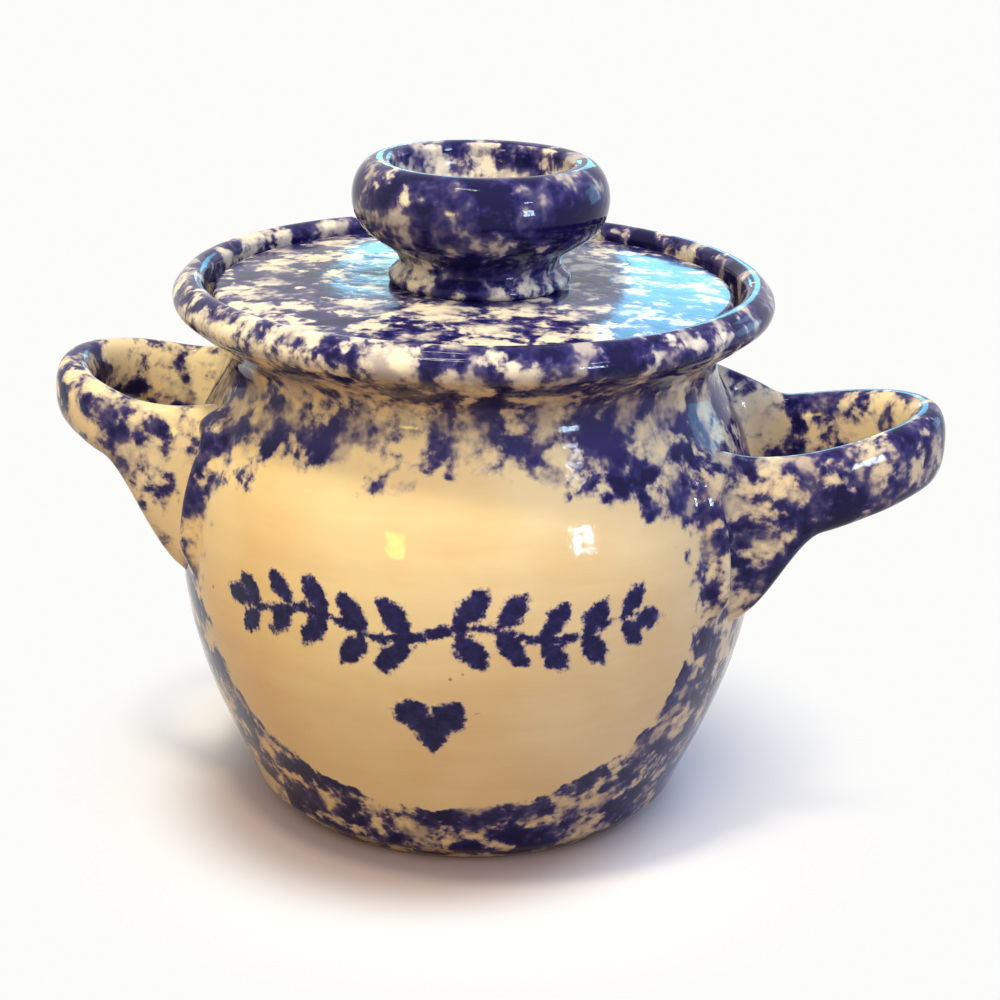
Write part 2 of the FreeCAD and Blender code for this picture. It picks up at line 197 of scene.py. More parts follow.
# %% The pot's outline as rows of (radius, height)
belly, belly_inside = (BELLY_RADIUS, BELLY_HEIGHT), (BELLY_RADIUS - WALL, BELLY_HEIGHT)
neck, throat = (NECK_RADIUS, NECK_HEIGHT), (THROAT_RADIUS, NECK_HEIGHT)
floor_edge = (FLOOR_FLAT_RADIUS, FLOOR_HEIGHT)
under_lip = (LIP_RADIUS - LIP_ROLL, RIM_HEIGHT - LIP_DEPTH)
slope = LIP_UNDERSIDE / math.sqrt(2)
crest_outer = (CREST_RADIUS + CREST_OUTER_WIDTH, RIM_HEIGHT - CREST_SHOULDER)
crest_inner = (GALLERY_RADIUS, RIM_HEIGHT - CREST_SHOULDER)
gallery_foot = (GALLERY_RADIUS, LEDGE_HEIGHT + GALLERY_CORNER)
ledge_outer = (GALLERY_RADIUS - GALLERY_CORNER, LEDGE_HEIGHT)
ledge_inner = (LEDGE_INNER_RADIUS + LEDGE_EDGE, LEDGE_HEIGHT)
throat_top = (LEDGE_INNER_RADIUS, LEDGE_HEIGHT - LEDGE_EDGE)
bevel_top = (FOOT_RADIUS + FOOT_BEVEL, FOOT_BEVEL)
foot_outer, foot_flat = (FOOT_RADIUS + FOOT_SOFTNESS, FOOT_SOFTNESS), (FOOT_RADIUS - FOOT_SOFTNESS, 0)
foot_inner = (FOOT_RADIUS - FOOT_RING_WIDTH, 0)
recess_edge = moved(foot_inner, -FOOT_RECESS_BEVEL, FOOT_RECESS)

inside = [
    straight((POT_HUB, FLOOR_HEIGHT), floor_edge, 4),
    bezier(floor_edge, (FLOOR_CORNER, 0), (0, -BELLY_LOWER_FULLNESS), belly_inside, 14),
    bezier(belly_inside, (0, BELLY_UPPER_FULLNESS), (0, -NECK_SOFTNESS), throat, 10),
    bezier(throat, (0, NECK_SOFTNESS / 2), (0, -LEDGE_EDGE), throat_top, 4),
    corner_round(throat_top, ledge_inner, (LEDGE_INNER_RADIUS, LEDGE_HEIGHT), 3),
    straight(ledge_inner, ledge_outer, 2),
    corner_round(ledge_outer, gallery_foot, (GALLERY_RADIUS, LEDGE_HEIGHT), 3),
    straight(gallery_foot, crest_inner, 6),
    arc(crest_inner, (CREST_RADIUS, RIM_HEIGHT), crest_outer, 14),
]
outside = [
    arc(crest_outer, (LIP_RADIUS, RIM_HEIGHT - LIP_DROP), under_lip, 12),
    bezier(under_lip, (-slope, -slope), (0, NECK_SOFTNESS), neck, 14),
    bezier(neck, (0, -NECK_SOFTNESS), (0, BELLY_UPPER_FULLNESS), belly, 46),
    bezier(belly, (0, -BELLY_LOWER_FULLNESS), (BASE_FLARE, BASE_RISE), bevel_top, 58),
    straight(bevel_top, foot_outer, 5),
]
underside = [
    bezier(foot_outer, (-FOOT_SOFTNESS / 2, -FOOT_SOFTNESS / 2), (FOOT_SOFTNESS, 0), foot_flat, 3),
    straight(foot_flat, foot_inner, 3),
    straight(foot_inner, recess_edge, 2),
    straight(recess_edge, (POT_HUB, FOOT_RECESS), 5),
]
pot_rows = np.vstack(inside + outside + underside)
first_outside = sum(map(len, inside))
last_outside = first_outside + sum(map(len, outside))
print("rows", len(pot_rows), "of which outside", last_outside - first_outside)

# %% The wall's radius at a height
outer_rows = pot_rows[first_outside:last_outside][::-1]


def wall_radius(height):
    """The pot's outer radius at a height, read off the outline below the lip."""
    return np.interp(height, outer_rows[:, 1], outer_rows[:, 0])


for height in (20, 54, 80, 89):
    print("wall radius at", height, "is", round(float(wall_radius(height)), 1))

# %% [markdown]
# ## Columns round the pot
# The front carries the decoration, so its columns are about half a millimetre apart, and the back's are
# nearly a millimetre. The density of columns is a smooth function of the angle, and adding it up round the
# circle gives the angle of each column. Angles run anticlockwise from +X, so the front is at -90 degrees.

# %% Angles of the columns
COLUMNS, FRONT = 470, -90.0
BACK_DENSITY = 0.56                      # the front's is 1
DENSE_HALF, DENSE_BLEND = 54, 14         # degrees: each half of the dense part, and the change at its end


def angle_between(a, b):
    """The difference of two angles in degrees, from -180 to 180."""
    return (a - b + 180) % 360 - 180


sweep = np.linspace(-180, 180, 7201) + FRONT
dense = smooth_fall(np.abs(angle_between(sweep, FRONT)) - DENSE_HALF, DENSE_BLEND)
density = BACK_DENSITY + (1 - BACK_DENSITY) * dense
total = np.concatenate([[0], np.cumsum((density[1:] + density[:-1]) / 2)])
column_angles = np.interp(np.arange(COLUMNS) / COLUMNS * total[-1], total, sweep)
print("columns", COLUMNS, "front spacing", round(float(np.diff(column_angles).min()), 2), "degrees")

# %% [markdown]
# ## What is luted onto the wall
# Each handle ends in two legs, and beside each leg a tongue of clay was thumbed onto the wall: it leaves the
# leg's top, bends down like an arch and runs out down the wall, with a crease between it and the leg. The
# strap itself is a piece of its own, made further down, but the tongue and the crease are part of the pot's
# skin here. Both are a height over the wall, as a function of the angle and the height up the pot. The two
# handles are not alike, as nothing pulled by hand is: each has its own reach and heights, its back leg may be
# smeared up the neck by web_rise or hang lower by far_drop, and the sponge spared one strap and its tails
# more than the other.

# %% Sizes of the handles in mm
HANDLES = {
    "right": dict(side=1, reach=91.3, root_top=77.0, tip_top=84.0, strap_height=16.5,
                  web_rise=6.5, far_drop=0.0, spared=0.0, spared_tail=0.55),
    "left": dict(side=-1, reach=82.3, root_top=80.8, tip_top=86.4, strap_height=13.8,
                 web_rise=1.5, far_drop=4.5, spared=1.0, spared_tail=1.8),
}
LEG_SPACING, LEG_LENGTH = 40.0, 5.0
STRAP_THICKNESS, STRAP_NARROWING, STRAP_SQUARENESS = 7.4, 2.5, 2.5
ROOT_HEIGHT, TAIL_RUN, WEB_RUN, ROOT_SINK = 31.0, 14.5, 9.0, 5.0
TONGUE_THICKNESS, TONGUE_HALF_WIDTH, TONGUE_TAPER, TONGUE_HEIGHT = 2.6, 5.2, 0.3, 23.0
# Radius of the arch, and how far its top lies below the leg's top
TONGUE_BEND, TONGUE_SHOULDER = 5.4, 2.2
TONGUE_FULLNESS, TONGUE_END = 0.8, 0.45      # under 1: a fuller back; under 1: a longer end
CREASE_DEPTH, CREASE_WIDTH, CREASE_PLACE = 0.9, 1.2, 0.5
CREASE_START, CREASE_GROWTH, CREASE_FADE = 4, 7, 4       # below the leg's top, and past the tongue's end
NEAR_HANDLE = 60             # degrees
LEG_Y = LEG_SPACING / 2
LEG_FACE = LEG_Y + STRAP_THICKNESS / 2


# %% Height of the luted clay over the wall
def luted_clay(angle, z):
    """Height over the wall in mm at an angle in degrees and a height. The tongue falls off with the distance
    from its centre line, which is a quarter circle round the leg's upper corner and then a line down the
    wall. The crease is a bell-shaped trough along the leg's face."""
    height = np.zeros(np.broadcast(angle, z).shape)
    radius = wall_radius(z)
    for handle in HANDLES.values():
        turn = np.abs(angle_between(angle, 0 if handle["side"] > 0 else 180))
        beside = radius * (np.radians(turn) - np.arcsin(LEG_FACE / radius))
        below_top = handle["root_top"] - z
        over_bend = TONGUE_SHOULDER + TONGUE_BEND - below_top
        past_end = np.maximum(below_top - TONGUE_HEIGHT, 0)
        arch = np.abs(np.hypot(np.maximum(beside, 0), over_bend) - TONGUE_BEND) + np.maximum(-beside, 0)
        line = np.hypot(beside - TONGUE_BEND, past_end * TONGUE_END)
        width = TONGUE_HALF_WIDTH * (1 - TONGUE_TAPER * np.clip(below_top / TONGUE_HEIGHT, 0, 1))
        fall = smooth_fall(np.where(over_bend > 0, arch, line), width)
        begun = 1 - smooth_fall(below_top - CREASE_START, CREASE_GROWTH)
        along = smooth_fall(past_end, CREASE_FADE) * begun
        crease = CREASE_DEPTH * np.exp(-((beside - CREASE_PLACE) / CREASE_WIDTH) ** 2) * along
        height += np.where(turn < NEAR_HANDLE, TONGUE_THICKNESS * fall**TONGUE_FULLNESS - crease, 0)
    return height


# %% [markdown]
# ## Traces of the hand
# A thrown pot is never a perfect surface of revolution. Its wall keeps faint rings from the fingers, and
# drying and firing leave it a little out of round. Both stay well under half a millimetre, and only inwards,
# so that the pot keeps its size. They fade out towards the rim and the foot.

# %% The pot's skin
TRACES_TOP, TRACES_FOOT = (86, 10), (4, 6)       # height, and the run over which they fade


def throwing_rings(z, pitch=6.5, depth=0.02):
    """Shallow rings: a sine up the wall whose phase drifts, so the rings aren't evenly spaced."""
    return -depth * (1 + np.sin(2 * np.pi * z / pitch + 1.7 * np.sin(z / 13.0)))


def out_of_round(angle, z):
    """A slow wave of two and three lobes round the pot, a quarter of a millimetre deep at most."""
    turn = np.radians(angle)
    return -0.12 * (1 + 0.6 * np.sin(2 * turn + z / 40) + 0.4 * np.sin(3 * turn + 1.1))


def turned_grid(rows, angles):
    """Each row's radius carried round the axis at the columns' angles."""
    turn = np.radians(angles)[None, :]
    radius, z = rows[:, :1], rows[:, 1:]
    level = np.broadcast_to(z, (len(rows), len(angles)))
    return np.stack([radius * np.cos(turn), radius * np.sin(turn), level], -1)


def row_normals(rows):
    """Outward direction (radius, height) at each row: the outline's own direction turned a quarter."""
    along = np.gradient(rows, axis=0)
    along /= np.linalg.norm(along, axis=1, keepdims=True)
    return np.column_stack([-along[:, 1], along[:, 0]])


pot_grid = turned_grid(pot_rows, column_angles)
z = pot_rows[first_outside:last_outside, 1:]
traces = throwing_rings(z) + out_of_round(column_angles[None, :], z)
above_foot = 1 - smooth_fall(z - TRACES_FOOT[0], TRACES_FOOT[1])
traces *= smooth_fall(z - TRACES_TOP[0], TRACES_TOP[1]) * above_foot
push = luted_clay(column_angles[None, :], z) + traces
normals = row_normals(pot_rows)[first_outside:last_outside]
turn = np.radians(column_angles)[None, :]
out_r, out_z = normals[:, :1] * push, normals[:, 1:] * push
pot_grid[first_outside:last_outside] += np.stack([out_r * np.cos(turn), out_r * np.sin(turn), out_z], -1)
pot_mesh = tube_mesh("pot", pot_grid[:, ::-1], (0, 0, FLOOR_HEIGHT), (0, 0, FOOT_RECESS))
print("luted clay stands up to", round(float(push.max()), 2), "mm over the wall")

# %% [markdown]
# ## Vent holes
# Garlic needs air, so such pots have a few holes in the back. A grid with holes is awkward to lay out, so the
# holes are cut by a Boolean modifier, which is applied at once. The cutter isn't a plain cylinder: it widens
# like a trumpet at both ends, because a sponge wipes the edges of such holes round before firing.

# %% Cut the vent holes
VENT_RADIUS, VENT_PITCH, VENT_HEIGHT = 3.0, 15.0, 54.0
VENT_EDGE = 0.7              # round on the hole's edges
VENT_ROWS = ((-1, 3), (1, 2))            # below or above the middle, and how many holes
VENT_WALL_LOSS = 0.25        # how far the wall lies inside its nominal radius there
VENT_OVERSHOOT, VENT_COLUMNS = 4, 28


def vent_cutter():
    """All cutters as one mesh. Along its own axis a cutter's radius is the hole's, and near each face of the
    wall a quarter circle widens it; past the wall it stays wide."""
    outer, inner = BELLY_RADIUS - VENT_WALL_LOSS, BELLY_RADIUS - WALL
    bend = np.linspace(0, np.pi / 2, 6)
    widen, run = VENT_EDGE * (1 - np.cos(bend)), VENT_EDGE * np.sin(bend)
    places = np.concatenate([[inner - VENT_OVERSHOOT], (inner + VENT_EDGE - run)[::-1],
                             outer - VENT_EDGE + run, [outer + VENT_OVERSHOOT]])
    radii = VENT_RADIUS + np.concatenate([[VENT_EDGE], widen[::-1], widen, [VENT_EDGE]])[:, None, None]
    around = np.linspace(0, 2 * np.pi, VENT_COLUMNS, endpoint=False)[None, :, None]
    together = bmesh.new()
    for side, count in VENT_ROWS:
        for index in range(count):
            angle = np.radians(FRONT + 180) + (index - (count - 1) / 2) * VENT_PITCH / BELLY_RADIUS
            out = np.array([np.cos(angle), np.sin(angle), 0])
            across = np.array([-np.sin(angle), np.cos(angle), 0])
            centre = np.array([0, 0, VENT_HEIGHT + side * VENT_PITCH / 2])
            ring = np.cos(around) * across + np.sin(around) * np.array([0, 0, 1])
            grid = centre + places[:, None, None] * out + radii * ring
            part = tube_mesh("cutter", grid, centre + places[0] * out, centre + places[-1] * out)
            together.from_mesh(part)
            bpy.data.meshes.remove(part)
    bmesh.ops.recalc_face_normals(together, faces=together.faces)
    mesh = bpy.data.meshes.new("vent_cutter")
    together.to_mesh(mesh)
    together.free()
    return mesh


blank, cutter = add_object("pot_blank", pot_mesh), add_object("vent_cutter", vent_cutter())
cut = blank.modifiers.new("vents", "BOOLEAN")
cut.operation, cut.solver, cut.object = "DIFFERENCE", "EXACT", cutter
bpy.context.view_layer.update()
vented = bpy.data.meshes.new_from_object(blank.evaluated_get(bpy.context.evaluated_depsgraph_get()))
for spare in (blank, cutter):
    bpy.data.objects.remove(spare)
vented.name = "pot"
vented.polygons.foreach_set("use_smooth", np.ones(len(vented.polygons), bool))
print("faces before", len(pot_mesh.polygons), "and after the holes", len(vented.polygons))
pot = add_piece("pot", vented, "pot", "pot_glaze", "pot_body")

# %% [markdown]
# ## Where the colour goes on the pot
# The potter left a clear window on the front, with a ragged edge where the sponge stopped, and stamped it
# with a heart under a leafy spray. Each of these is stored on the pot's points as a signed distance in
# millimetres: below zero inside, above zero outside. A material can then turn a distance into a fuzzy edge
# with one threshold, and the same distance plus some noise gives the look of a sponge.

# %% The clear window
WINDOW_HALF = (              # the right half of the window's edge: (degrees from the front, height in mm)
    (0, 79.0), (14, 78.5), (27, 76.5), (38, 73.0), (46, 68.5), (51.5, 61.0), (53.5, 52.0), (52.5, 43.0),
    (48, 34.0), (40, 26.5), (29, 20.5), (15, 16.5), (0, 15.0),
)
WINDOW_MIDDLE, WINDOW_WALL_RADIUS = 48.0, 55.0


def window_distance(angle, z):
    """Signed distance from the window's edge: at each direction from the window's middle, the edge's distance
    is interpolated between its points on both sides, and the point's own distance is compared with it."""
    scale = np.radians(1) * WINDOW_WALL_RADIUS
    x, y = angle_between(angle, FRONT) * scale, z - WINDOW_MIDDLE
    edge_x, edge_y = (np.array(WINDOW_HALF, float) * (scale, 1) - (0, WINDOW_MIDDLE)).T
    reach = np.interp(np.arctan2(np.abs(x), y), np.arctan2(edge_x, edge_y), np.hypot(edge_x, edge_y))
    return np.hypot(x, y) - reach


# %% The heart and the leafy spray
HEART_HEIGHT, HEART_WIDTH, HEART_LIFT = 12.6, 13.2, 34.6
HEART_LOBE = (0.50, 0.42, 0.52)          # middle and radius, in half widths and half heights of the heart
HEART_WEDGE, HEART_WEDGE_TOP = (0.80, 0.62), 0.46
SPRAY_LIFT, SPRAY_REACH = 53.4, 38.0     # mm, and degrees to each side
SPRAY_WAVE, SPRAY_TURNS = 1.5, 2.5       # height of the stem's wave, and its half turns on each side
STEM_WIDTH, STEM_TAPER = 2.2, 0.4
LEAF_LENGTH, LEAF_WIDTH, LEAF_LEAN, LEAF_SHRINK = 9.6, 4.9, 52.0, 0.22
LEAF_PAIRS, LAST_PAIR, TIP_PLACE, TIP_SIZE = 10, 0.92, 0.97, 0.8


def heart_distance(x, y):
    """Two round lobes and a point below: the smaller distance of a circle beside the middle and of a tapering
    wedge, mirrored left to right."""
    x, y = np.abs(x) / (HEART_WIDTH / 2), y / (HEART_HEIGHT / 2)
    lobe = np.hypot(x - HEART_LOBE[0], y - HEART_LOBE[1]) - HEART_LOBE[2]
    wedge = np.maximum(x * HEART_WEDGE[0] - (y + 1) * HEART_WEDGE[1], y - HEART_WEDGE_TOP)
    return np.minimum(lobe, wedge) * HEART_HEIGHT / 2


def leaf_distance(x, y, root_x, root_y, lean, size):
    """A pointed leaf: the overlap of two circles whose centres lie either side of its midrib."""
    length, width = LEAF_LENGTH * size, LEAF_WIDTH * size
    c, s = math.cos(math.radians(lean)), math.sin(math.radians(lean))
    along = (x - root_x) * c + (y - root_y) * s - length / 2
    across = np.abs(-(x - root_x) * s + (y - root_y) * c)
    radius = (length**2 + width**2) / (4 * width)
    return np.hypot(along, across + radius - width / 2) - radius


def spray_distance(x, y):
    """A waving stem with pairs of leaves: the smallest of all their distances."""
    reach = math.radians(SPRAY_REACH) * BELLY_RADIUS
    wave = SPRAY_WAVE * np.sin(x / reach * SPRAY_TURNS * np.pi)
    past_end = np.maximum(np.abs(x) - reach, 0)
    distance = np.hypot(y - wave, past_end) - STEM_WIDTH / 2 * (1 - STEM_TAPER * np.abs(x) / reach)
    leaves = [(side * reach * TIP_PLACE, 0.0, 0 if side > 0 else 180, TIP_SIZE) for side in (-1, 1)]
    for place in np.linspace(-LAST_PAIR, LAST_PAIR, LEAF_PAIRS):
        root_y = SPRAY_WAVE * math.sin(place * SPRAY_TURNS * math.pi)
        for lean in (-LEAF_LEAN, LEAF_LEAN):
            lean = lean if place >= 0 else 180 - lean
            leaves.append((place * reach, root_y, lean, 1 - LEAF_SHRINK * abs(place)))
    for leaf in leaves:
        distance = np.minimum(distance, leaf_distance(x, y, *leaf))
    return distance


# %% Write the pot's distances
FAR_OFF = 20.0               # mm, for points that a distance doesn't concern
SKIN = 2.5                   # mm: points this close to the wall's outside belong to it
INSIDE_DEPTH, INSIDE_TOP, INSIDE_BOTTOM = 2.0, LEDGE_HEIGHT - 0.2, 4     # mm: where the inside's colour holds
UNDERSIDE_HEIGHT, UNDERSIDE_RADIUS = 3, foot_inner[0] + 0.5      # the recess within the foot ring
WINDOW_CEILING, STAMP_HALF_WIDTH = 96, 60
# Mm: the foot is wiped bare this high, and the glaze begins over this run
BARE_HEIGHT, BARE_BLEND = 1.2, 0.5

p = points_of(pot.data)
radius, angle, height = np.hypot(p[:, 0], p[:, 1]), np.degrees(np.arctan2(p[:, 1], p[:, 0])), p[:, 2]
is_outside = radius > wall_radius(height) - SKIN
front_x = np.radians(angle_between(angle, FRONT)) * BELLY_RADIUS
stamp = np.minimum(heart_distance(front_x, height - HEART_LIFT), spray_distance(front_x, height - SPRAY_LIFT))
window = window_distance(angle, height)
write_attribute(pot.data, "window", np.where(is_outside & (height < WINDOW_CEILING), window, FAR_OFF))
write_attribute(pot.data, "stamp",
                np.where(is_outside & (np.abs(front_x) < STAMP_HALF_WIDTH), stamp, FAR_OFF))
inner = np.clip(wall_radius(height) - INSIDE_DEPTH - radius, 0, 1) * (height < INSIDE_TOP)
write_attribute(pot.data, "inner", np.where(height < INSIDE_BOTTOM, 0, inner))
bare = np.clip((BARE_HEIGHT - height) / BARE_BLEND, 0, 1)
bare += (height < UNDERSIDE_HEIGHT) * (radius < UNDERSIDE_RADIUS)
write_attribute(pot.data, "bare", np.clip(bare, 0, 1))
print("stamped points", int((stamp[is_outside] < 0).sum()), "window points",
      int((window[is_outside] < 0).sum()))

# %% [markdown]
# ## The handles
# A potter pulls a strap of wet clay, bends it and presses its two ends onto the wall. So a handle is a
# section carried along a path: a superellipse, squarer than an ellipse and softer than a rectangle, which is
# tall at the roots, where a tail was smeared down the wall, and low at the tip. Its first and last rows
# follow the pot's round wall from inside it, so the joint has no gap from any side.

# %% One pulled strap
STRAP_COLUMNS, LEG_ROWS, BEND_ROWS = 64, 26, 96
ROOT_DEPTH = 3.0             # how far inside the wall the strap ends
FILLET_FACE, FILLET_TOP, FILLET_LOW, FILLET_RUN = 0.9, 0.7, 2.2, 4.5     # swell by the crease, on top, below
DROP_START, DROP_RUN = 8, 14
FAR_START, FAR_RUN = -0.4 * LEG_Y, 0.9 * LEG_Y       # mm from the middle: where the far side begins to count
HUGGING_RUN = ROOT_SINK + 0.8 * LEG_LENGTH           # mm over which the rows stop following the wall
RIPPLE, RIPPLE_OUT, RIPPLE_ACROSS = 0.03, 0.55, 0.21     # share of the thickness, and radians for each mm
INWARD_GAIN, INWARD_START = 1.6, 0.1     # how fast the spared inner side begins round the section
TAIL_SPARED_RUN = TAIL_RUN + 4
STRAP_TURN = np.linspace(0, 2 * np.pi, STRAP_COLUMNS, endpoint=False)


def strap_path(handle):
    """Plan points, outward directions and the way out from the wall: a straight leg, half an ellipse, a
    straight leg."""
    wall = math.sqrt(BELLY_RADIUS**2 - LEG_Y**2)
    bend_start = wall + LEG_LENGTH
    bend = handle["reach"] - STRAP_THICKNESS / 2 - bend_start
    leg_x = np.linspace(wall - ROOT_SINK, bend_start, LEG_ROWS, endpoint=False)
    angle = np.linspace(-np.pi / 2, np.pi / 2, BEND_ROWS)
    plan = np.vstack([
        np.column_stack([leg_x, np.full(LEG_ROWS, -LEG_Y)]),
        np.column_stack([bend_start + bend * np.cos(angle), LEG_Y * np.sin(angle)]),
        np.column_stack([leg_x[::-1], np.full(LEG_ROWS, LEG_Y)]),
    ])
    outward = np.column_stack([np.cos(angle) * LEG_Y, np.sin(angle) * bend])
    outward /= np.linalg.norm(outward, axis=1, keepdims=True)
    outward = np.vstack([np.tile([0.0, -1.0], (LEG_ROWS, 1)), outward, np.tile([0.0, 1.0], (LEG_ROWS, 1))])
    return plan, outward, plan[:, 0] - wall


def strap_heights(handle, plan, out):
    """Top and full height of the section at each station: the top dips from the tip to the root, a tail is
    smeared down the wall and a web up the neck, and the far side may hang lower."""
    rise = 1 - smooth_fall(out, handle["reach"] - STRAP_THICKNESS / 2 - out[0] - plan[0, 0])
    is_far = 1 - smooth_fall(plan[:, 1] - FAR_START, FAR_RUN)
    web = handle["web_rise"] * smooth_fall(out + ROOT_SINK, WEB_RUN + ROOT_SINK) * (plan[:, 1] > 0)
    drop = handle["far_drop"] * is_far * smooth_fall(out - DROP_START, DROP_RUN)
    top = handle["root_top"] + (handle["tip_top"] - handle["root_top"]) * rise + web
    tail = (ROOT_HEIGHT - handle["strap_height"] - drop) * smooth_fall(out, TAIL_RUN)
    return top, handle["strap_height"] - STRAP_NARROWING * rise + tail + drop + web


def strap_grid(handle):
    """The section's points at every station: a superellipse whose half thickness and half height grow by a
    fillet where the strap meets the wall. Near the wall the rows bend onto the pot's round."""
    plan, outward, out = strap_path(handle)
    top, height = (values[:, None] for values in strap_heights(handle, plan, out))
    out = out[:, None]
    cosine, sine = (np.sign(wave) * np.abs(wave) ** (2 / STRAP_SQUARENESS)
                    for wave in (np.cos(STRAP_TURN), np.sin(STRAP_TURN)))
    fillet = FILLET_LOW + (FILLET_TOP - FILLET_LOW) * np.clip(2 * sine - 1, 0, 1)
    fillet = np.where(cosine > 0, FILLET_FACE + (fillet - FILLET_FACE) * np.abs(sine) ** 3, fillet)
    from_wall = np.clip((out + ROOT_SINK - ROOT_DEPTH) / FILLET_RUN, 0, 1)
    swell = fillet * (1 - from_wall) ** 2
    thickness = STRAP_THICKNESS * (1 - RIPPLE * (1 + np.sin(out * RIPPLE_OUT + plan[:, 1:] * RIPPLE_ACROSS)))
    across = cosine * (thickness / 2 + swell)
    z = top - height / 2 + sine * (height / 2 + swell)
    x = plan[:, :1] + outward[:, :1] * across
    y = plan[:, 1:] + outward[:, 1:] * across
    on_leg = smooth_fall(out + ROOT_SINK, HUGGING_RUN)
    hugging = np.sqrt(np.maximum((wall_radius(z) - ROOT_DEPTH) ** 2 - y**2, 1)) + out + ROOT_SINK
    grid = np.stack([(x * (1 - on_leg) + hugging * on_leg) * handle["side"], y, z], axis=-1)
    return grid if handle["side"] < 0 else grid[:, ::-1]


def make_handle(name, handle):
    """One handle as a piece. Its attribute inner is 1 where the sponge hardly reached: inside the loop, on
    the tails, or all over."""
    grid = strap_grid(handle)
    mesh = tube_mesh(name, grid, grid[0].mean(axis=0), grid[-1].mean(axis=0))
    turn = STRAP_TURN if handle["side"] < 0 else STRAP_TURN[::-1]
    facing_in = np.clip(-np.cos(turn) * INWARD_GAIN - INWARD_START, 0, 1)
    on_tail = handle["spared_tail"] * smooth_fall(strap_path(handle)[2], TAIL_SPARED_RUN)
    spared = np.maximum(np.maximum(facing_in[None, :], on_tail[:, None]), handle["spared"])
    write_attribute(mesh, "inner", np.append(spared.ravel(), [0, 0]))
    piece = add_piece(name, mesh, "pot", "handle_glaze", name.replace("strap", "handle"))
    low, high = points_of(mesh).min(axis=0), points_of(mesh).max(axis=0)
    print(name, "from", low.round(1), "to", high.round(1))
    return piece


right_strap = make_handle("right_strap", HANDLES["right"])
left_strap = make_handle("left_strap", HANDLES["left"])

# %% [markdown]
# ## The lid and its knob
# The lid is a slightly domed disc that lies in the gallery, and the knob is a small cup, thrown apart and
# luted onto it a little off its middle. Both are turned grids like the pot, with their own columns all the
# way round.

# %% Sizes of the lid and the knob in mm
LID_CLEARANCE, LID_THICKNESS, LID_DOME, LID_KNOB_SEAT_RADIUS = 1.6, 5.0, 0.8, 19.0
LID_EDGE, LID_SEAT_WIDTH, LID_HOLLOW, LID_CHAMFER = 1.3, 4.6, 1.2, 0.7
LID_RING_PITCH, LID_RING_DEPTH, LID_RINGS, LID_RING_FADE = 7.5, 0.008, (18, 44), 4       # between these radii
LID_BARE_HEIGHT, LID_BARE_BLEND = 0.5, 0.4
KNOB_OFFSET = 0.9
KNOB_BEAD_RADIUS, KNOB_BEAD_HEIGHT, KNOB_BEAD_BULGE = 16.6, 2.4, 0.8
KNOB_NECK_RADIUS, KNOB_NECK_HEIGHT, KNOB_NECK_RISE = 15.4, 3.8, 4.5
KNOB_RADIUS, KNOB_WIDEST_HEIGHT, KNOB_UNDER_FULLNESS, KNOB_OVER_FULLNESS = 24.6, 16.4, 8.5, 4.0
KNOB_HEIGHT, KNOB_CREST_RADIUS, KNOB_CREST_SOFTNESS = 23.5, 19.8, 2.3
KNOB_LIP, KNOB_LIP_DROP, KNOB_CUP_DEPTH, KNOB_CUP_FLOOR_RADIUS, KNOB_CUP_CORNER = 2.6, 1.3, 12.5, 8.5, 5.0
KNOB_UNEVENNESS = 0.006      # share of the radius; the hand leaves a knob less than round
KNOB_TRUE_FOOT, KNOB_TRUE_BLEND = 3, 6   # the foot stays round this high, and the unevenness grows over this
# On the knob's neck the sparing is partly painted light, which lifts the shadow under the knob
CUP_SPARING, KNOB_NECK_SPARING_AND_LIGHT, KNOB_NECK_RUN = 1.4, 1.3, 5      # how little the sponge reached
LID_COLUMNS, KNOB_COLUMNS, CUP_ROWS = 260, 200, 31
LID_RADIUS = GALLERY_RADIUS - LID_CLEARANCE
LID_TOP = LEDGE_HEIGHT + LID_THICKNESS
KNOB_SEAT = LID_TOP + LID_DOME

# %% The lid plate
edge_top, edge_side = (LID_RADIUS - LID_EDGE, LID_TOP), (LID_RADIUS, LID_TOP - LID_EDGE)
seat_outer, seat_inner = (LID_RADIUS - LID_CHAMFER, LEDGE_HEIGHT), (LID_RADIUS - LID_SEAT_WIDTH, LEDGE_HEIGHT)
chamfer_top = moved(seat_outer, LID_CHAMFER, LID_CHAMFER)
hollow_edge = moved(seat_inner, -LID_HOLLOW, LID_HOLLOW)
knob_seat = (LID_KNOB_SEAT_RADIUS, KNOB_SEAT)
half_slope = (LID_RADIUS - LID_KNOB_SEAT_RADIUS) / 2
lid_rows = np.vstack([
    straight((LID_HUB, hollow_edge[1]), hollow_edge, 10),
    straight(hollow_edge, seat_inner, 2),
    straight(seat_inner, seat_outer, 3),
    straight(seat_outer, chamfer_top, 2),
    straight(chamfer_top, edge_side, 4),
    corner_round(edge_side, edge_top, (LID_RADIUS, LID_TOP), 7),
    bezier(edge_top, (LID_EDGE - half_slope, LID_DOME), (half_slope, 0), knob_seat, 44),
    straight(knob_seat, (LID_HUB, KNOB_SEAT), 16),
])
out, up = lid_rows.T
past_seat = 1 - smooth_fall(out - LID_RINGS[0], LID_RING_FADE)
on_top = (up > LID_TOP - 0.01) * smooth_fall(out - LID_RINGS[1], LID_RING_FADE) * past_seat
rings = 1 + np.sin(2 * np.pi * out / LID_RING_PITCH + 1.3 * np.sin(out / 7))
lid_rows[:, 1] -= on_top * LID_RING_DEPTH * rings
lid_grid = turned_grid(lid_rows, np.linspace(0, 360, LID_COLUMNS, endpoint=False))
lid_mesh = tube_mesh("lid", lid_grid[:, ::-1], (0, 0, hollow_edge[1]), (0, 0, KNOB_SEAT))
lid = add_piece("lid", lid_mesh, "lid", "lid_glaze", "lid_plate")
lid_height = points_of(lid.data)[:, 2]
write_attribute(lid.data, "bare",
                np.clip((LEDGE_HEIGHT + LID_BARE_HEIGHT - lid_height) / LID_BARE_BLEND, 0, 1))

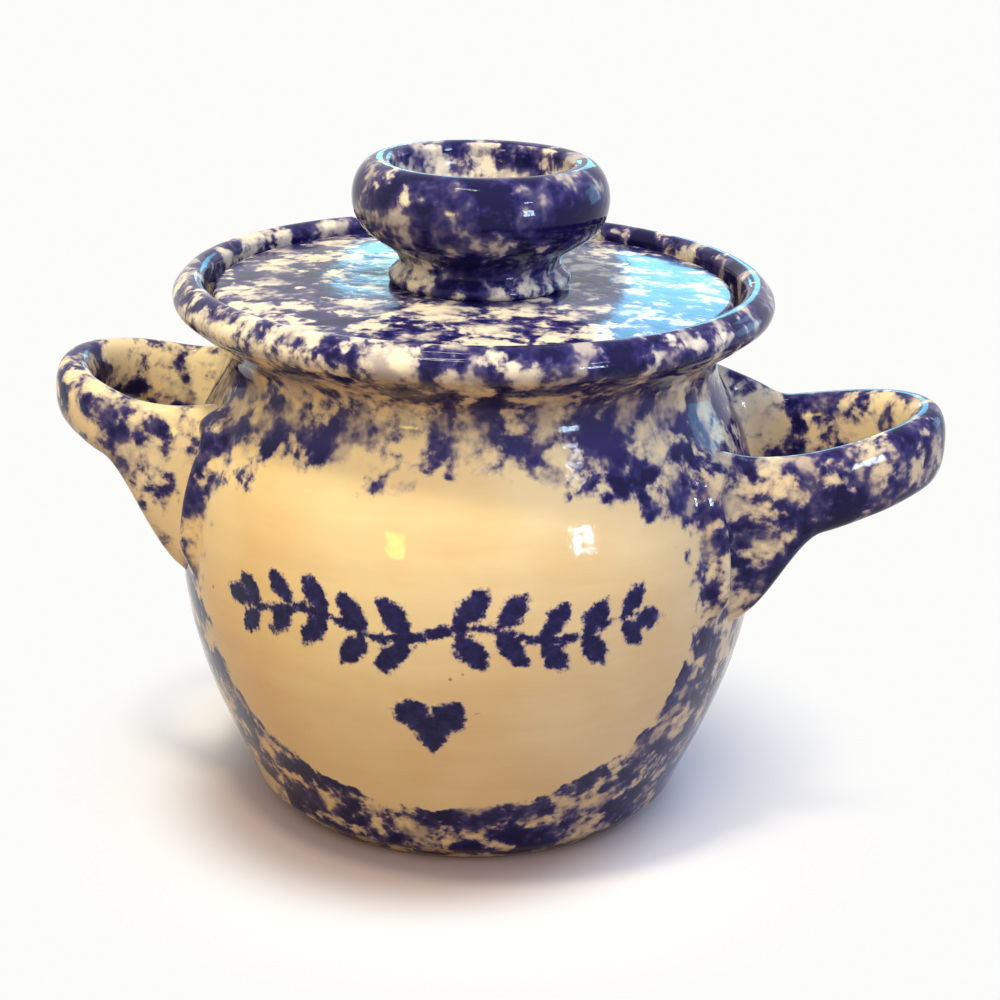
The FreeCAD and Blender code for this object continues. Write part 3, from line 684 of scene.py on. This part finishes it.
# %% The knob
crest = (KNOB_CREST_RADIUS, KNOB_SEAT + KNOB_HEIGHT)
cup_rim = moved(crest, -KNOB_LIP, -KNOB_LIP_DROP)
cup_edge = (KNOB_CUP_FLOOR_RADIUS, crest[1] - KNOB_CUP_DEPTH)
bead_low, bead_high = (KNOB_BEAD_RADIUS, KNOB_SEAT), (KNOB_BEAD_RADIUS, KNOB_SEAT + KNOB_BEAD_HEIGHT)
bead_out = moved(bead_low, KNOB_BEAD_BULGE, KNOB_BEAD_HEIGHT / 2)
knob_neck = (KNOB_NECK_RADIUS, KNOB_SEAT + KNOB_NECK_HEIGHT)
widest = (KNOB_RADIUS, KNOB_SEAT + KNOB_WIDEST_HEIGHT)
knob_rows = np.vstack([
    straight((LID_HUB, KNOB_SEAT), bead_low, 3),
    arc(bead_low, bead_out, bead_high, 9),
    straight(bead_high, knob_neck, 4),
    bezier(knob_neck, (0, KNOB_NECK_RISE), (0, -KNOB_UNDER_FULLNESS), widest, 36),
    bezier(widest, (0, KNOB_OVER_FULLNESS), (KNOB_CREST_SOFTNESS, 0), crest, 24),
    bezier(crest, (-KNOB_LIP, 0), (0, 0), cup_rim, 8),
    bezier(cup_rim, (0, -KNOB_CUP_DEPTH / 2), (KNOB_CUP_CORNER, 0), cup_edge, 22),
    straight(cup_edge, (CUP_HUB, cup_edge[1]), 6),
])
knob_angles = np.linspace(0, 360, KNOB_COLUMNS, endpoint=False)
knob_grid = turned_grid(knob_rows, knob_angles)
turn = np.radians(knob_angles)[None, :]
above_foot = 1 - smooth_fall(knob_rows[:, 1:] - (KNOB_SEAT + KNOB_TRUE_FOOT), KNOB_TRUE_BLEND)
lobes = 1 + np.sin(2 * turn + 0.6) * 0.6 + 0.4 * np.sin(5 * turn)
knob_grid[..., :2] *= (1 - KNOB_UNEVENNESS * above_foot * lobes)[..., None]
knob_grid[..., 0] += KNOB_OFFSET
knob_mesh = tube_mesh("knob", knob_grid[:, ::-1], (KNOB_OFFSET, 0, KNOB_SEAT), (KNOB_OFFSET, 0, cup_edge[1]))
knob = add_piece("knob", knob_mesh, "lid", "knob_glaze", "lid_knob")
in_cup = np.arange(len(knob_rows)) >= len(knob_rows) - CUP_ROWS
# Paler on the knob's neck: partly less sponge, partly painted light against the shadow under the knob
on_neck = smooth_fall(knob_rows[:, 1] - knob_neck[1], KNOB_NECK_RUN)
sparing_and_light = in_cup * CUP_SPARING + on_neck * KNOB_NECK_SPARING_AND_LIGHT
write_attribute(knob.data, "inner", np.append(np.repeat(sparing_and_light, KNOB_COLUMNS), [0, 0]))

# %% [markdown]
# ## Sponged glaze
# The ware is buff stoneware under a cream slip. Cobalt was dabbed on with a natural sponge, and a clear glaze
# lies over everything. The eye finds three things in such a finish: ragged navy blots a few millimetres wide,
# soft violet edges where the sponge was nearly dry, and the hard small highlights of glass. The blots could
# be painted or scattered as small shapes. Fractal noise in Object coordinates with a threshold is chosen,
# because it flows over rim, wall and knob without any seam. A noise's scale is 1 over the size of its cells,
# so it is written in millimetres.

# %% Colours, and the one function that adds nodes
SLIP_WARM = "#f3dfaa"        # clear glaze over cream slip on the wall, warmed by the clay's iron
SLIP_DEEP = "#edd096"        # where the slip is thinner
SLIP_PALE = "#f0e6cc"        # where it lies thick, on the rim, the lid and the knob
COBALT_TONES = ((0.0, "#a79fa8"), (0.45, "#625b7c"), (0.78, "#2b2765"), (1.0, "#110e44"))
IRON_SPECK = "#6a4a35"
BARE_CLAY, BARE_GRIT = "#c8a67e", "#a98560"     # unglazed stoneware, wiped so that it can't stick to the kiln


def linear(hex_colour):
    """sRGB hex to linear RGBA, by the sRGB curve."""
    values = [int(hex_colour[i:i + 2], 16) / 255 for i in (1, 3, 5)]
    return [v / 12.92 if v <= 0.04045 else ((v + 0.055) / 1.055) ** 2.4 for v in values] + [1.0]


def fill_sockets(node, sockets):
    """Gives sockets, by name or number, a value, or a link from a node or from one of its sockets."""
    for name, value in sockets.items():
        if isinstance(value, bpy.types.Node):
            value = [output for output in value.outputs if output.enabled][0]
        if isinstance(value, bpy.types.NodeSocket):
            node.id_data.links.new(value, node.inputs[name])
        else:
            node.inputs[name].default_value = value


def add_node(tree, kind, sockets=(), **settings):
    """Adds one shader node with its settings. Its sockets come in a dictionary, or in a plain row from the
    first one on. Map Range's row is the value, from min, from max, to min, to max; Mix has its two colours at
    6 and 7."""
    node = tree.nodes.new("ShaderNode" + kind)
    for name, value in settings.items():
        setattr(node, name, value)
    fill_sockets(node, sockets if isinstance(sockets, dict) else dict(enumerate(sockets)))
    return node


print("cobalt at its densest is", np.round(linear(COBALT_TONES[-1][1])[:3], 3))

# %% How much cobalt the sponge left
PORE_SIZE, PORE_SHARE = 2.2 * MM, 0.46
DAB_SIZE, DAB_SHARE = 34 * MM, 0.22
LOAD_RANGE = (0.20, 0.47)                # how far over the limit the blue begins and is full
WATER_SIZE, WATER_RANGE, WATERY = 7.5 * MM, (0.36, 0.56), 0.34       # the wettest sponge leaves this share
COVER_LOAD, COVER_MOST = 0.58, 0.995


def sponge_load(add, place, blot_size, limit):
    """0 where the slip is clean and 1 where the sponge was fully loaded: blots, their pores and the larger
    dabs are added up, and what lies over the limit counts, less so where the sponge was watery. A lower limit
    gives more blue."""
    blots, pores, dabs, water = [
        add("TexNoise",
            {"Vector": place, "Scale": 1 / size, "Detail": detail, "Roughness": rough, "Distortion": bend})
        for size, detail, rough, bend in (
            (blot_size, 3.0, 0.5, 0.3), (PORE_SIZE, 4.0, 0.6, 0.0), (DAB_SIZE, 1.0, 0.5, 0.0),
            (WATER_SIZE, 3.0, 0.6, 0.0))
    ]
    mottled = add("Math", (pores, PORE_SHARE, blots), operation="MULTIPLY_ADD")
    pressed = add("Math", (dabs, DAB_SHARE, mottled), operation="MULTIPLY_ADD")
    over = add("Math", (pressed, limit), operation="SUBTRACT")
    load = add("MapRange", (over, *LOAD_RANGE), interpolation_type="SMOOTHSTEP")
    washed = add("MapRange", (water, *WATER_RANGE, WATERY))
    return add("Math", (load, washed), operation="MULTIPLY")


def cobalt_over(add, slip, load):
    """A thin load only tints the slip and a thick one hides it: the load picks a tone and its cover."""
    tone = add("ValToRGB", {"Fac": load})
    ramp = tone.color_ramp.elements
    ramp[0].color, ramp[1].color = linear(COBALT_TONES[0][1]), linear(COBALT_TONES[-1][1])
    for position, hex_colour in COBALT_TONES[1:-1]:
        ramp.new(position).color = linear(hex_colour)
    cover = add("MapRange", (load, 0.0, COVER_LOAD, 0.0, COVER_MOST))
    return add("Mix", {"Factor": cover, 6: slip, 7: tone}, data_type="RGBA")


# %% The slip under it
CLOUD_SIZE, STREAK_SIZE, STREAK_SHARE = 24 * MM, 11 * MM, 0.25
THIN_RANGE = (0.50, 0.80)    # where clouds and streaks together show the thinner slip
WHEEL_STRETCH = 9.0          # streaks lie level, so they are this much narrower up the pot than round it
SPECK_CELL, SPECK_DEPTH = 9 * MM, 0.65
# Cells over this value hold one; shares of a cell
SPECK_CHOICE, SPECK_RADIUS = (0.60, 0.62), (0.028, 0.05)


def slip_colour(add, place, pale):
    """Cream with slow clouds, and faint level streaks from the turning wheel, with a few tiny specks of iron.
    pale is 0 for the wall's warm cream and 1 for the thick pale slip."""
    clouds = add("TexNoise", {"Vector": place, "Scale": 1 / CLOUD_SIZE, "Detail": 3.0})
    flat = add("Mapping", {"Vector": place, "Scale": (1.0, 1.0, WHEEL_STRETCH)})
    streaks = add("TexNoise", {"Vector": flat, "Scale": 1 / STREAK_SIZE, "Detail": 4.0, "Roughness": 0.6})
    both = add("Math", (streaks, STREAK_SHARE, clouds), operation="MULTIPLY_ADD")
    thin = add("MapRange", (both, *THIN_RANGE))
    warm = add("Mix", {"Factor": thin, 6: linear(SLIP_WARM), 7: linear(SLIP_DEEP)}, data_type="RGBA")
    slip = add("Mix", {"Factor": pale, 6: warm, 7: linear(SLIP_PALE)}, data_type="RGBA")
    cells = add("TexVoronoi", {"Vector": place, "Scale": 1 / SPECK_CELL})
    chosen = add("MapRange", (cells.outputs["Color"], *SPECK_CHOICE))
    dot = add("MapRange", (cells.outputs["Distance"], *SPECK_RADIUS, SPECK_DEPTH, 0.0))
    speck = add("Math", (dot, chosen), operation="MULTIPLY")
    return add("Mix", {"Factor": speck, 6: slip, 7: linear(IRON_SPECK)}, data_type="RGBA")


# %% The clear glaze over it
GLAZE_IOR, GLAZE_LEVEL = 1.5, 0.15       # a low level keeps the navy deep under a white surround
GLAZE_ROUGH, WAVE_RANGE = (0.04, 0.09), (0.3, 0.7)
WAVE_SIZE, PEEL_SIZE, PEEL_SHARE, LOAD_SHARE = 15 * MM, 1.7 * MM, 0.14, 0.08
GRIT_SIZE, GRIT_SHARE, BARE_ROUGH, BUMP_HEIGHT = 0.7 * MM, 0.5, 0.85, 0.20 * MM


def finish_glaze(material, add, colour, place, load, bare=None, haze=0.0):
    """Glass over the colour, with a low roughness, the slow waves of a melted coat, a fine orange peel that
    breaks up the highlights, and a trace of the thicker cobalt. Haze is added to the roughness. Where bare is
    1 there is only rough clay."""
    waves = add("TexNoise", {"Vector": place, "Scale": 1 / WAVE_SIZE, "Detail": 2.0})
    peel = add("TexNoise", {"Vector": place, "Scale": 1 / PEEL_SIZE, "Detail": 2.0})
    relief = add("Math", (peel, PEEL_SHARE, waves), operation="MULTIPLY_ADD")
    relief = add("Math", (load, LOAD_SHARE, relief), operation="MULTIPLY_ADD")
    rough = add("MapRange", (waves, *WAVE_RANGE, GLAZE_ROUGH[0] + haze, GLAZE_ROUGH[1] + haze))
    if bare:
        grit = add("TexNoise", {"Vector": place, "Scale": 1 / GRIT_SIZE, "Detail": 4.0, "Roughness": 0.7})
        clay = add("Mix", {"Factor": grit, 6: linear(BARE_CLAY), 7: linear(BARE_GRIT)}, data_type="RGBA")
        colour = add("Mix", {"Factor": bare, 6: colour, 7: clay}, data_type="RGBA")
        dry = add("Math", (bare, BARE_ROUGH), operation="MULTIPLY")
        rough = add("Math", (rough, dry), operation="MAXIMUM")
        sand = add("Math", (grit, bare), operation="MULTIPLY")
        relief = add("Math", (sand, GRIT_SHARE, relief), operation="MULTIPLY_ADD")
    bump = add("Bump", {"Height": relief, "Distance": BUMP_HEIGHT})
    nodes = material.node_tree.nodes
    fill_sockets(nodes["Principled BSDF"], {"Base Color": colour, "Roughness": rough, "Normal": bump,
                                            "IOR": GLAZE_IOR, "Specular IOR Level": GLAZE_LEVEL})
    print(material.name, "nodes", len(nodes))


def start_material(name, offset=None):
    """A node material, the function that adds nodes to its tree, and its Object coordinates. An offset moves
    these, so that the lid and the knob don't show the pot's blots."""
    material = bpy.data.materials.new(name)
    material.use_nodes = True
    add = partial(add_node, material.node_tree)
    place = add("TexCoord").outputs["Object"]
    if offset is not None:
        place = add("Mapping", {"Vector": place, "Location": (offset, offset * 0.7, -offset)})
    return material, add, place


# %% Glaze of the small pieces
POT_BLOT = 6.2 * MM          # the handles share it and the offset 0, so blots run on across the joints
SPARING = 0.10               # added to the limit where inner is 1


def sponged_glaze(name, offset, blot_size, limit, pale, has_bare=False, haze=0.0):
    """Sponged stoneware for a piece without a clear window: lid, knob and handles. What an attribute calls
    inner gets less blue, because the sponge hardly reaches it; on the knob's neck this is also painted light
    against the shadow under the knob."""
    material, add, place = start_material(name, offset)
    inner = add("Attribute", attribute_name="inner").outputs["Fac"]
    limit = add("Math", (inner, SPARING, limit), operation="MULTIPLY_ADD")
    load = sponge_load(add, place, blot_size, limit)
    colour = cobalt_over(add, slip_colour(add, place, pale), load)
    bare = add("Attribute", attribute_name="bare").outputs["Fac"] if has_bare else None
    finish_glaze(material, add, colour, place, load, bare, haze)
    return material


lid.data.materials.append(sponged_glaze("spongeware_glaze_lid", 0.62, 5.2 * MM, 0.455, 0.8, True, 0.06))
knob.data.materials.append(sponged_glaze("spongeware_glaze_knob", 0.93, 6.4 * MM, 0.298, 0.9))
handle_glaze = sponged_glaze("spongeware_glaze_handles", 0.0, POT_BLOT, 0.415, 0.35)
for strap in (right_strap, left_strap):
    strap.data.materials.append(handle_glaze)

# %% Glaze of the pot, with its window and stamps
# The window's edge is crisp below and loose above: between two heights it sways and blurs more, in mm. The
# limit falls from the belly to the neck and further in the neck's hollow, where the blue is also thinner.
# This denser blue is partly sponging and partly painted shade under the lip. The rim is paler at the left
# and darker at the right.
EDGE_HEIGHTS, SWAY, BLUR = (44 * MM, 74 * MM), (8.0, 18.0), (1.4, 8.5)
LOBE_SIZE, WINDOW_SPARING = 7 * MM, 0.5
SHOULDER_HEIGHTS, WALL_LIMIT = (78 * MM, 90 * MM), (0.455, 0.425)
HOLLOW_HEIGHT, HOLLOW_REACH, HOLLOW_SPREAD_AND_SHADE, HOLLOW_WASH = 88 * MM, (4 * MM, 9 * MM), 0.035, 0.24
RIM_HEIGHTS, RIM_ACROSS, RIM_SPARING = (97 * MM, 101 * MM), (10 * MM, 50 * MM), (0.03, -0.07)
PALE_HEIGHTS = (90 * MM, 99 * MM)

material, add, place = start_material("spongeware_glaze_pot", 0.0)
window, stamp, inner, bare = [add("Attribute", attribute_name=name).outputs["Fac"]
                              for name in ("window", "stamp", "inner", "bare")]
position = add("SeparateXYZ", (place,)).outputs
across, height = position["X"], position["Z"]
lobes = add("TexNoise", {"Vector": place, "Scale": 1 / LOBE_SIZE, "Detail": 3.0, "Distortion": 0.6})
sway = add("MapRange", (height, *EDGE_HEIGHTS, *SWAY))
blur = add("MapRange", (height, *EDGE_HEIGHTS, *BLUR))
middle = add("Math", (lobes, 0.5), operation="SUBTRACT")
edge = add("Math", (middle, sway, window), operation="MULTIPLY_ADD")
inside = add("Math", (blur, -1.0), operation="MULTIPLY")
closed = add("MapRange", (edge, inside, blur, WINDOW_SPARING, 0.0), interpolation_type="SMOOTHSTEP")
# Lower limits up the shoulder and in the neck's hollow: more blue, partly painted shade under the lip
wall_limit = add("MapRange", (height, *SHOULDER_HEIGHTS, *WALL_LIMIT))
off_hollow = add("Math", (height, HOLLOW_HEIGHT), operation="SUBTRACT")
off_hollow = add("Math", (off_hollow,), operation="ABSOLUTE")
in_hollow = add("MapRange", (off_hollow, *HOLLOW_REACH, 1.0, 0.0), interpolation_type="SMOOTHSTEP")
limit = add("Math", (in_hollow, -HOLLOW_SPREAD_AND_SHADE, wall_limit), operation="MULTIPLY_ADD")
limit = add("Math", (closed, limit), operation="ADD")
rim_side = add("MapRange", (across, *RIM_ACROSS, *RIM_SPARING))
rim_limit = add("MapRange", (height, *RIM_HEIGHTS, 0.0, rim_side))
for more in (rim_limit, inner):
    limit = add("Math", (limit, more), operation="ADD")
load = sponge_load(add, place, POT_BLOT, limit)
thinned = add("Math", (in_hollow, -HOLLOW_WASH, 1.0), operation="MULTIPLY_ADD")
load = add("Math", (load, thinned), operation="MULTIPLY")
pale = add("MapRange", (height, *PALE_HEIGHTS))
colour = cobalt_over(add, slip_colour(add, place, pale), load)

# %% The stamped heart and spray
STAMP_PORES, STAMP_FUZZ = 2.4 * MM, 4.2  # the pores eat this many mm into the stamp's edge
INK_EDGE, INK_PORES, INK_THINNEST = (1.35, 2.6), (0.40, 0.66), 0.78
pores = add("TexNoise", {"Vector": place, "Scale": 1 / STAMP_PORES, "Detail": 5.0, "Roughness": 0.7})
fuzz = add("Math", (pores, STAMP_FUZZ, stamp), operation="MULTIPLY_ADD")
ink = add("MapRange", (fuzz, *INK_EDGE, 1.0, 0.0), interpolation_type="SMOOTHSTEP")
mottle = add("MapRange", (pores, *INK_PORES, 1.0, INK_THINNEST))
stamped = add("Math", (ink, mottle), operation="MULTIPLY")
colour = cobalt_over(add, colour, stamped)
thick = add("Math", (load, stamped), operation="MAXIMUM")
finish_glaze(material, add, colour, place, thick, bare)
pot.data.materials.append(material)

# %% [markdown]
# ## Floor and light
# The pot stands on a plain pale floor, which fades into the backdrop beyond the pot's shadow. Close to the
# foot a warm shadow is painted on the floor. Most of what one sees of a glaze is what surrounds it, so the
# lamps matter as much as the colours. Some lamps only give light: a warm one high up, whose edge of shadow
# falls on the shoulder below the lip, a soft one overhead, a warm one in front and a cool one at the right.
# Others are only there to be mirrored, as small windows are in a kitchen. One window has four panes with bars
# between them. One at the back is four squares inside one another, which add up towards the middle, so that
# its mirror image has a soft edge. A lamp is placed by its direction from the pot: the azimuth is 0 in front
# and 90 at the right.

# %% Rays that see the background
BACKDROP = "#fcfcfb"


def sees_background(add):
    """1 for a ray from the camera, from a mirroring surface or through glass, and 0 for the rays that give
    light."""
    ray = add("LightPath").outputs
    mirrored = add("Math", (ray["Is Glossy Ray"], ray["Is Transmission Ray"]), operation="MAXIMUM")
    return add("Math", (ray["Is Camera Ray"], mirrored), operation="MAXIMUM")


# %% Floor
PAPER_SIZE, PAPER_ROUGHNESS, PAPER_LEVEL = 6.0, 0.9, 0.2
FADE_CENTRE, FADE_START, FADE_END = (0.001, -0.004, 0.0), 0.030, 0.093
# Painted shadow round the foot: full within the first radius and gone past the second, in m
PAINTED_SHADOW_CENTRE, PAINTED_SHADOW_START, PAINTED_SHADOW_END = (-0.008, -0.012, 0.0), 0.036, 0.058
PAPER_COLOUR, PAINTED_FLOOR_SHADOW, PAPER_BOUNCE = "#e6e6ea", "#947a70", "#8f7256"    # the second is a painted shadow round the foot; the last is what lights the pot

half = PAPER_SIZE / 2
floor_mesh = bpy.data.meshes.new("floor")
corners = [(-half, -half, 0), (half, -half, 0), (half, half, 0), (-half, half, 0)]
floor_mesh.from_pydata(corners, [], [(0, 1, 2, 3)])
floor = add_object("floor", floor_mesh)
paper, add, place = start_material("matt_white_paper")
nodes = paper.node_tree.nodes
away = add("VectorMath", (place, FADE_CENTRE), operation="DISTANCE").outputs["Value"]
far = add("MapRange", (away, FADE_START, FADE_END), interpolation_type="SMOOTHSTEP")
# A warm shadow painted into the paper's colour round the foot, for camera and mirrored rays
near = add("VectorMath", (place, PAINTED_SHADOW_CENTRE), operation="DISTANCE").outputs["Value"]
outside_painted_shadow = add("MapRange", (near, PAINTED_SHADOW_START, PAINTED_SHADOW_END), interpolation_type="SMOOTHSTEP")
seen = sees_background(add)
fade = add("Math", (far, seen), operation="MULTIPLY")
paper_with_painted_shadow = add("Mix", {"Factor": outside_painted_shadow, 6: linear(PAINTED_FLOOR_SHADOW), 7: linear(PAPER_COLOUR)}, data_type="RGBA")
base = add("Mix", {"Factor": seen, 6: linear(PAPER_BOUNCE), 7: paper_with_painted_shadow}, data_type="RGBA")
fill_sockets(nodes["Principled BSDF"], {"Base Color": base, "Roughness": PAPER_ROUGHNESS,
                                        "Specular IOR Level": PAPER_LEVEL})
white = add("Emission", {"Color": linear(BACKDROP), "Strength": 1.0})
mixed = add("MixShader", (fade, nodes["Principled BSDF"], white))
fill_sockets(nodes["Material Output"], {"Surface": mixed})
floor_mesh.materials.append(paper)

# %% World
SKY_SEEN, SKY_LIGHT = 1.0, 0.20
world = bpy.data.worlds.new("studio")
bpy.context.scene.world = world
world.use_nodes = True
add = partial(add_node, world.node_tree)
strength = add("Math", (sees_background(add), SKY_SEEN - SKY_LIGHT, SKY_LIGHT), operation="MULTIPLY_ADD")
fill_sockets(world.node_tree.nodes["Background"], {"Color": linear(BACKDROP), "Strength": strength})

# %% Lamps
AIM = np.array([0, 0, 60.0]) * MM


def add_lamp(name, azimuth, elevation, distance, size, level, colour, mirror=False):
    """A rectangular lamp on a sphere round the pot, turned to face it. The level is how bright a white face
    towards it gets, and the watts follow from it. A mirror lamp gives no light: it is only seen in the glaze,
    and its level is how bright its own face is."""
    az, el = math.radians(azimuth), math.radians(elevation)
    out = np.array([math.sin(az) * math.cos(el), -math.cos(az) * math.cos(el), math.sin(el)])
    data = bpy.data.lights.new(name, "AREA")
    data.shape, data.size, data.size_y = "RECTANGLE", size[0], size[1]
    data.energy = level * math.pi * size[0] * size[1] if mirror else level * math.pi**2 * distance**2
    data.color = linear(colour)[:3]
    lamp = add_object(name, data)
    lamp.location = AIM + out * distance
    lamp.rotation_euler = (math.radians(90 - elevation), 0, az)
    lamp.visible_glossy, lamp.visible_diffuse = mirror, not mirror
    print(name, "watts", round(data.energy, 2))


# name, azimuth, elevation, distance in m, size in m, level, colour
LAMPS = (
    ("ceiling", -32, 74, 1.2, (0.14, 0.14), 0.68, "#fff0c8"),
    ("overhead", 60, 87, 1.2, (0.70, 0.70), 0.13, "#eef3ff"),
    ("front", -18, 45, 1.4, (1.40, 0.90), 0.67, "#ffeacb"),
    ("right", 71, 36, 1.4, (1.80, 1.50), 0.94, "#aac6ff"),
)
MIRROR_LAMPS = (
    *(("window_pane", 49 + side, 9 + up, 0.9, (0.055, 0.075), 95.0, "#c4e4ff")
      for side in (-2.3, 2.3) for up in (-2.9, 2.9)),
    ("window_high", 53, 31, 0.9, (0.09, 0.03), 60.0, "#eef6ff"),
    ("warm_bulb", -21, 7, 0.9, (0.11, 0.11), 30.0, "#ffe04a"),
    ("ceiling_spots", -20, 70, 1.1, (0.30, 0.05), 60.0, "#fff3d6"),
    *(("window_back_right", 127, 12, 1.0, (side, side), 3.3, "#7fccf0") for side in (0.34, 0.28, 0.22, 0.16)),
    ("window_behind", 175, 17, 1.1, (0.20, 0.30), 5.4, "#5fc4f0"),
    ("window_behind_left", 189, 13, 1.1, (0.10, 0.08), 6.8, "#6fd0f0"),
)
for lamp in LAMPS:
    add_lamp(*lamp)
for lamp in MIRROR_LAMPS:
    add_lamp(*lamp, mirror=True)

# %% [markdown]
# ## Camera
# The camera stands a little to the right of the front, 42 cm from the pot, and looks down by about 20
# degrees. Its direction is given by a yaw and an elevation, and three small turns after that set the pot in
# the frame.

# %% Camera
CAMERA_DISTANCE, CAMERA_TARGET = 420.0, 57.1
YAW, ELEVATION, PAN, TILT, ROLL = 6.5, 19.81, 0.80, 0.17, -1.10
FOCAL_PIXELS, IMAGE_PIXELS, SENSOR = 2114.0, 1000.0, 36.0


def turn_pair(first, second, degrees):
    """Two perpendicular directions turned in their own plane."""
    c, s = math.cos(math.radians(degrees)), math.sin(math.radians(degrees))
    return c * first - s * second, s * first + c * second


yaw, down = math.radians(YAW), math.radians(ELEVATION)
right = np.array([math.cos(yaw), math.sin(yaw), 0])
ahead = np.array([-math.sin(yaw) * math.cos(down), math.cos(yaw) * math.cos(down), -math.sin(down)])
up = np.cross(right, ahead)
eye = (np.array([0, 0, CAMERA_TARGET]) - CAMERA_DISTANCE * ahead) * MM
right, ahead = turn_pair(right, ahead, PAN)
up, ahead = turn_pair(up, ahead, TILT)
right, up = turn_pair(right, up, ROLL)
camera_data = bpy.data.cameras.new("camera")
camera_data.sensor_width = SENSOR
camera_data.lens = FOCAL_PIXELS / IMAGE_PIXELS * SENSOR
camera_data.clip_start = 0.01
camera = add_object("camera", camera_data)
matrix = np.eye(4)
matrix[:3] = np.column_stack([right, up, -ahead, eye])
camera.matrix_world = Matrix(matrix.tolist())
bpy.context.scene.camera = camera
bpy.context.scene.view_settings.view_transform = "Standard"
print("camera at", eye.round(3), "lens", round(camera_data.lens, 1), "mm")
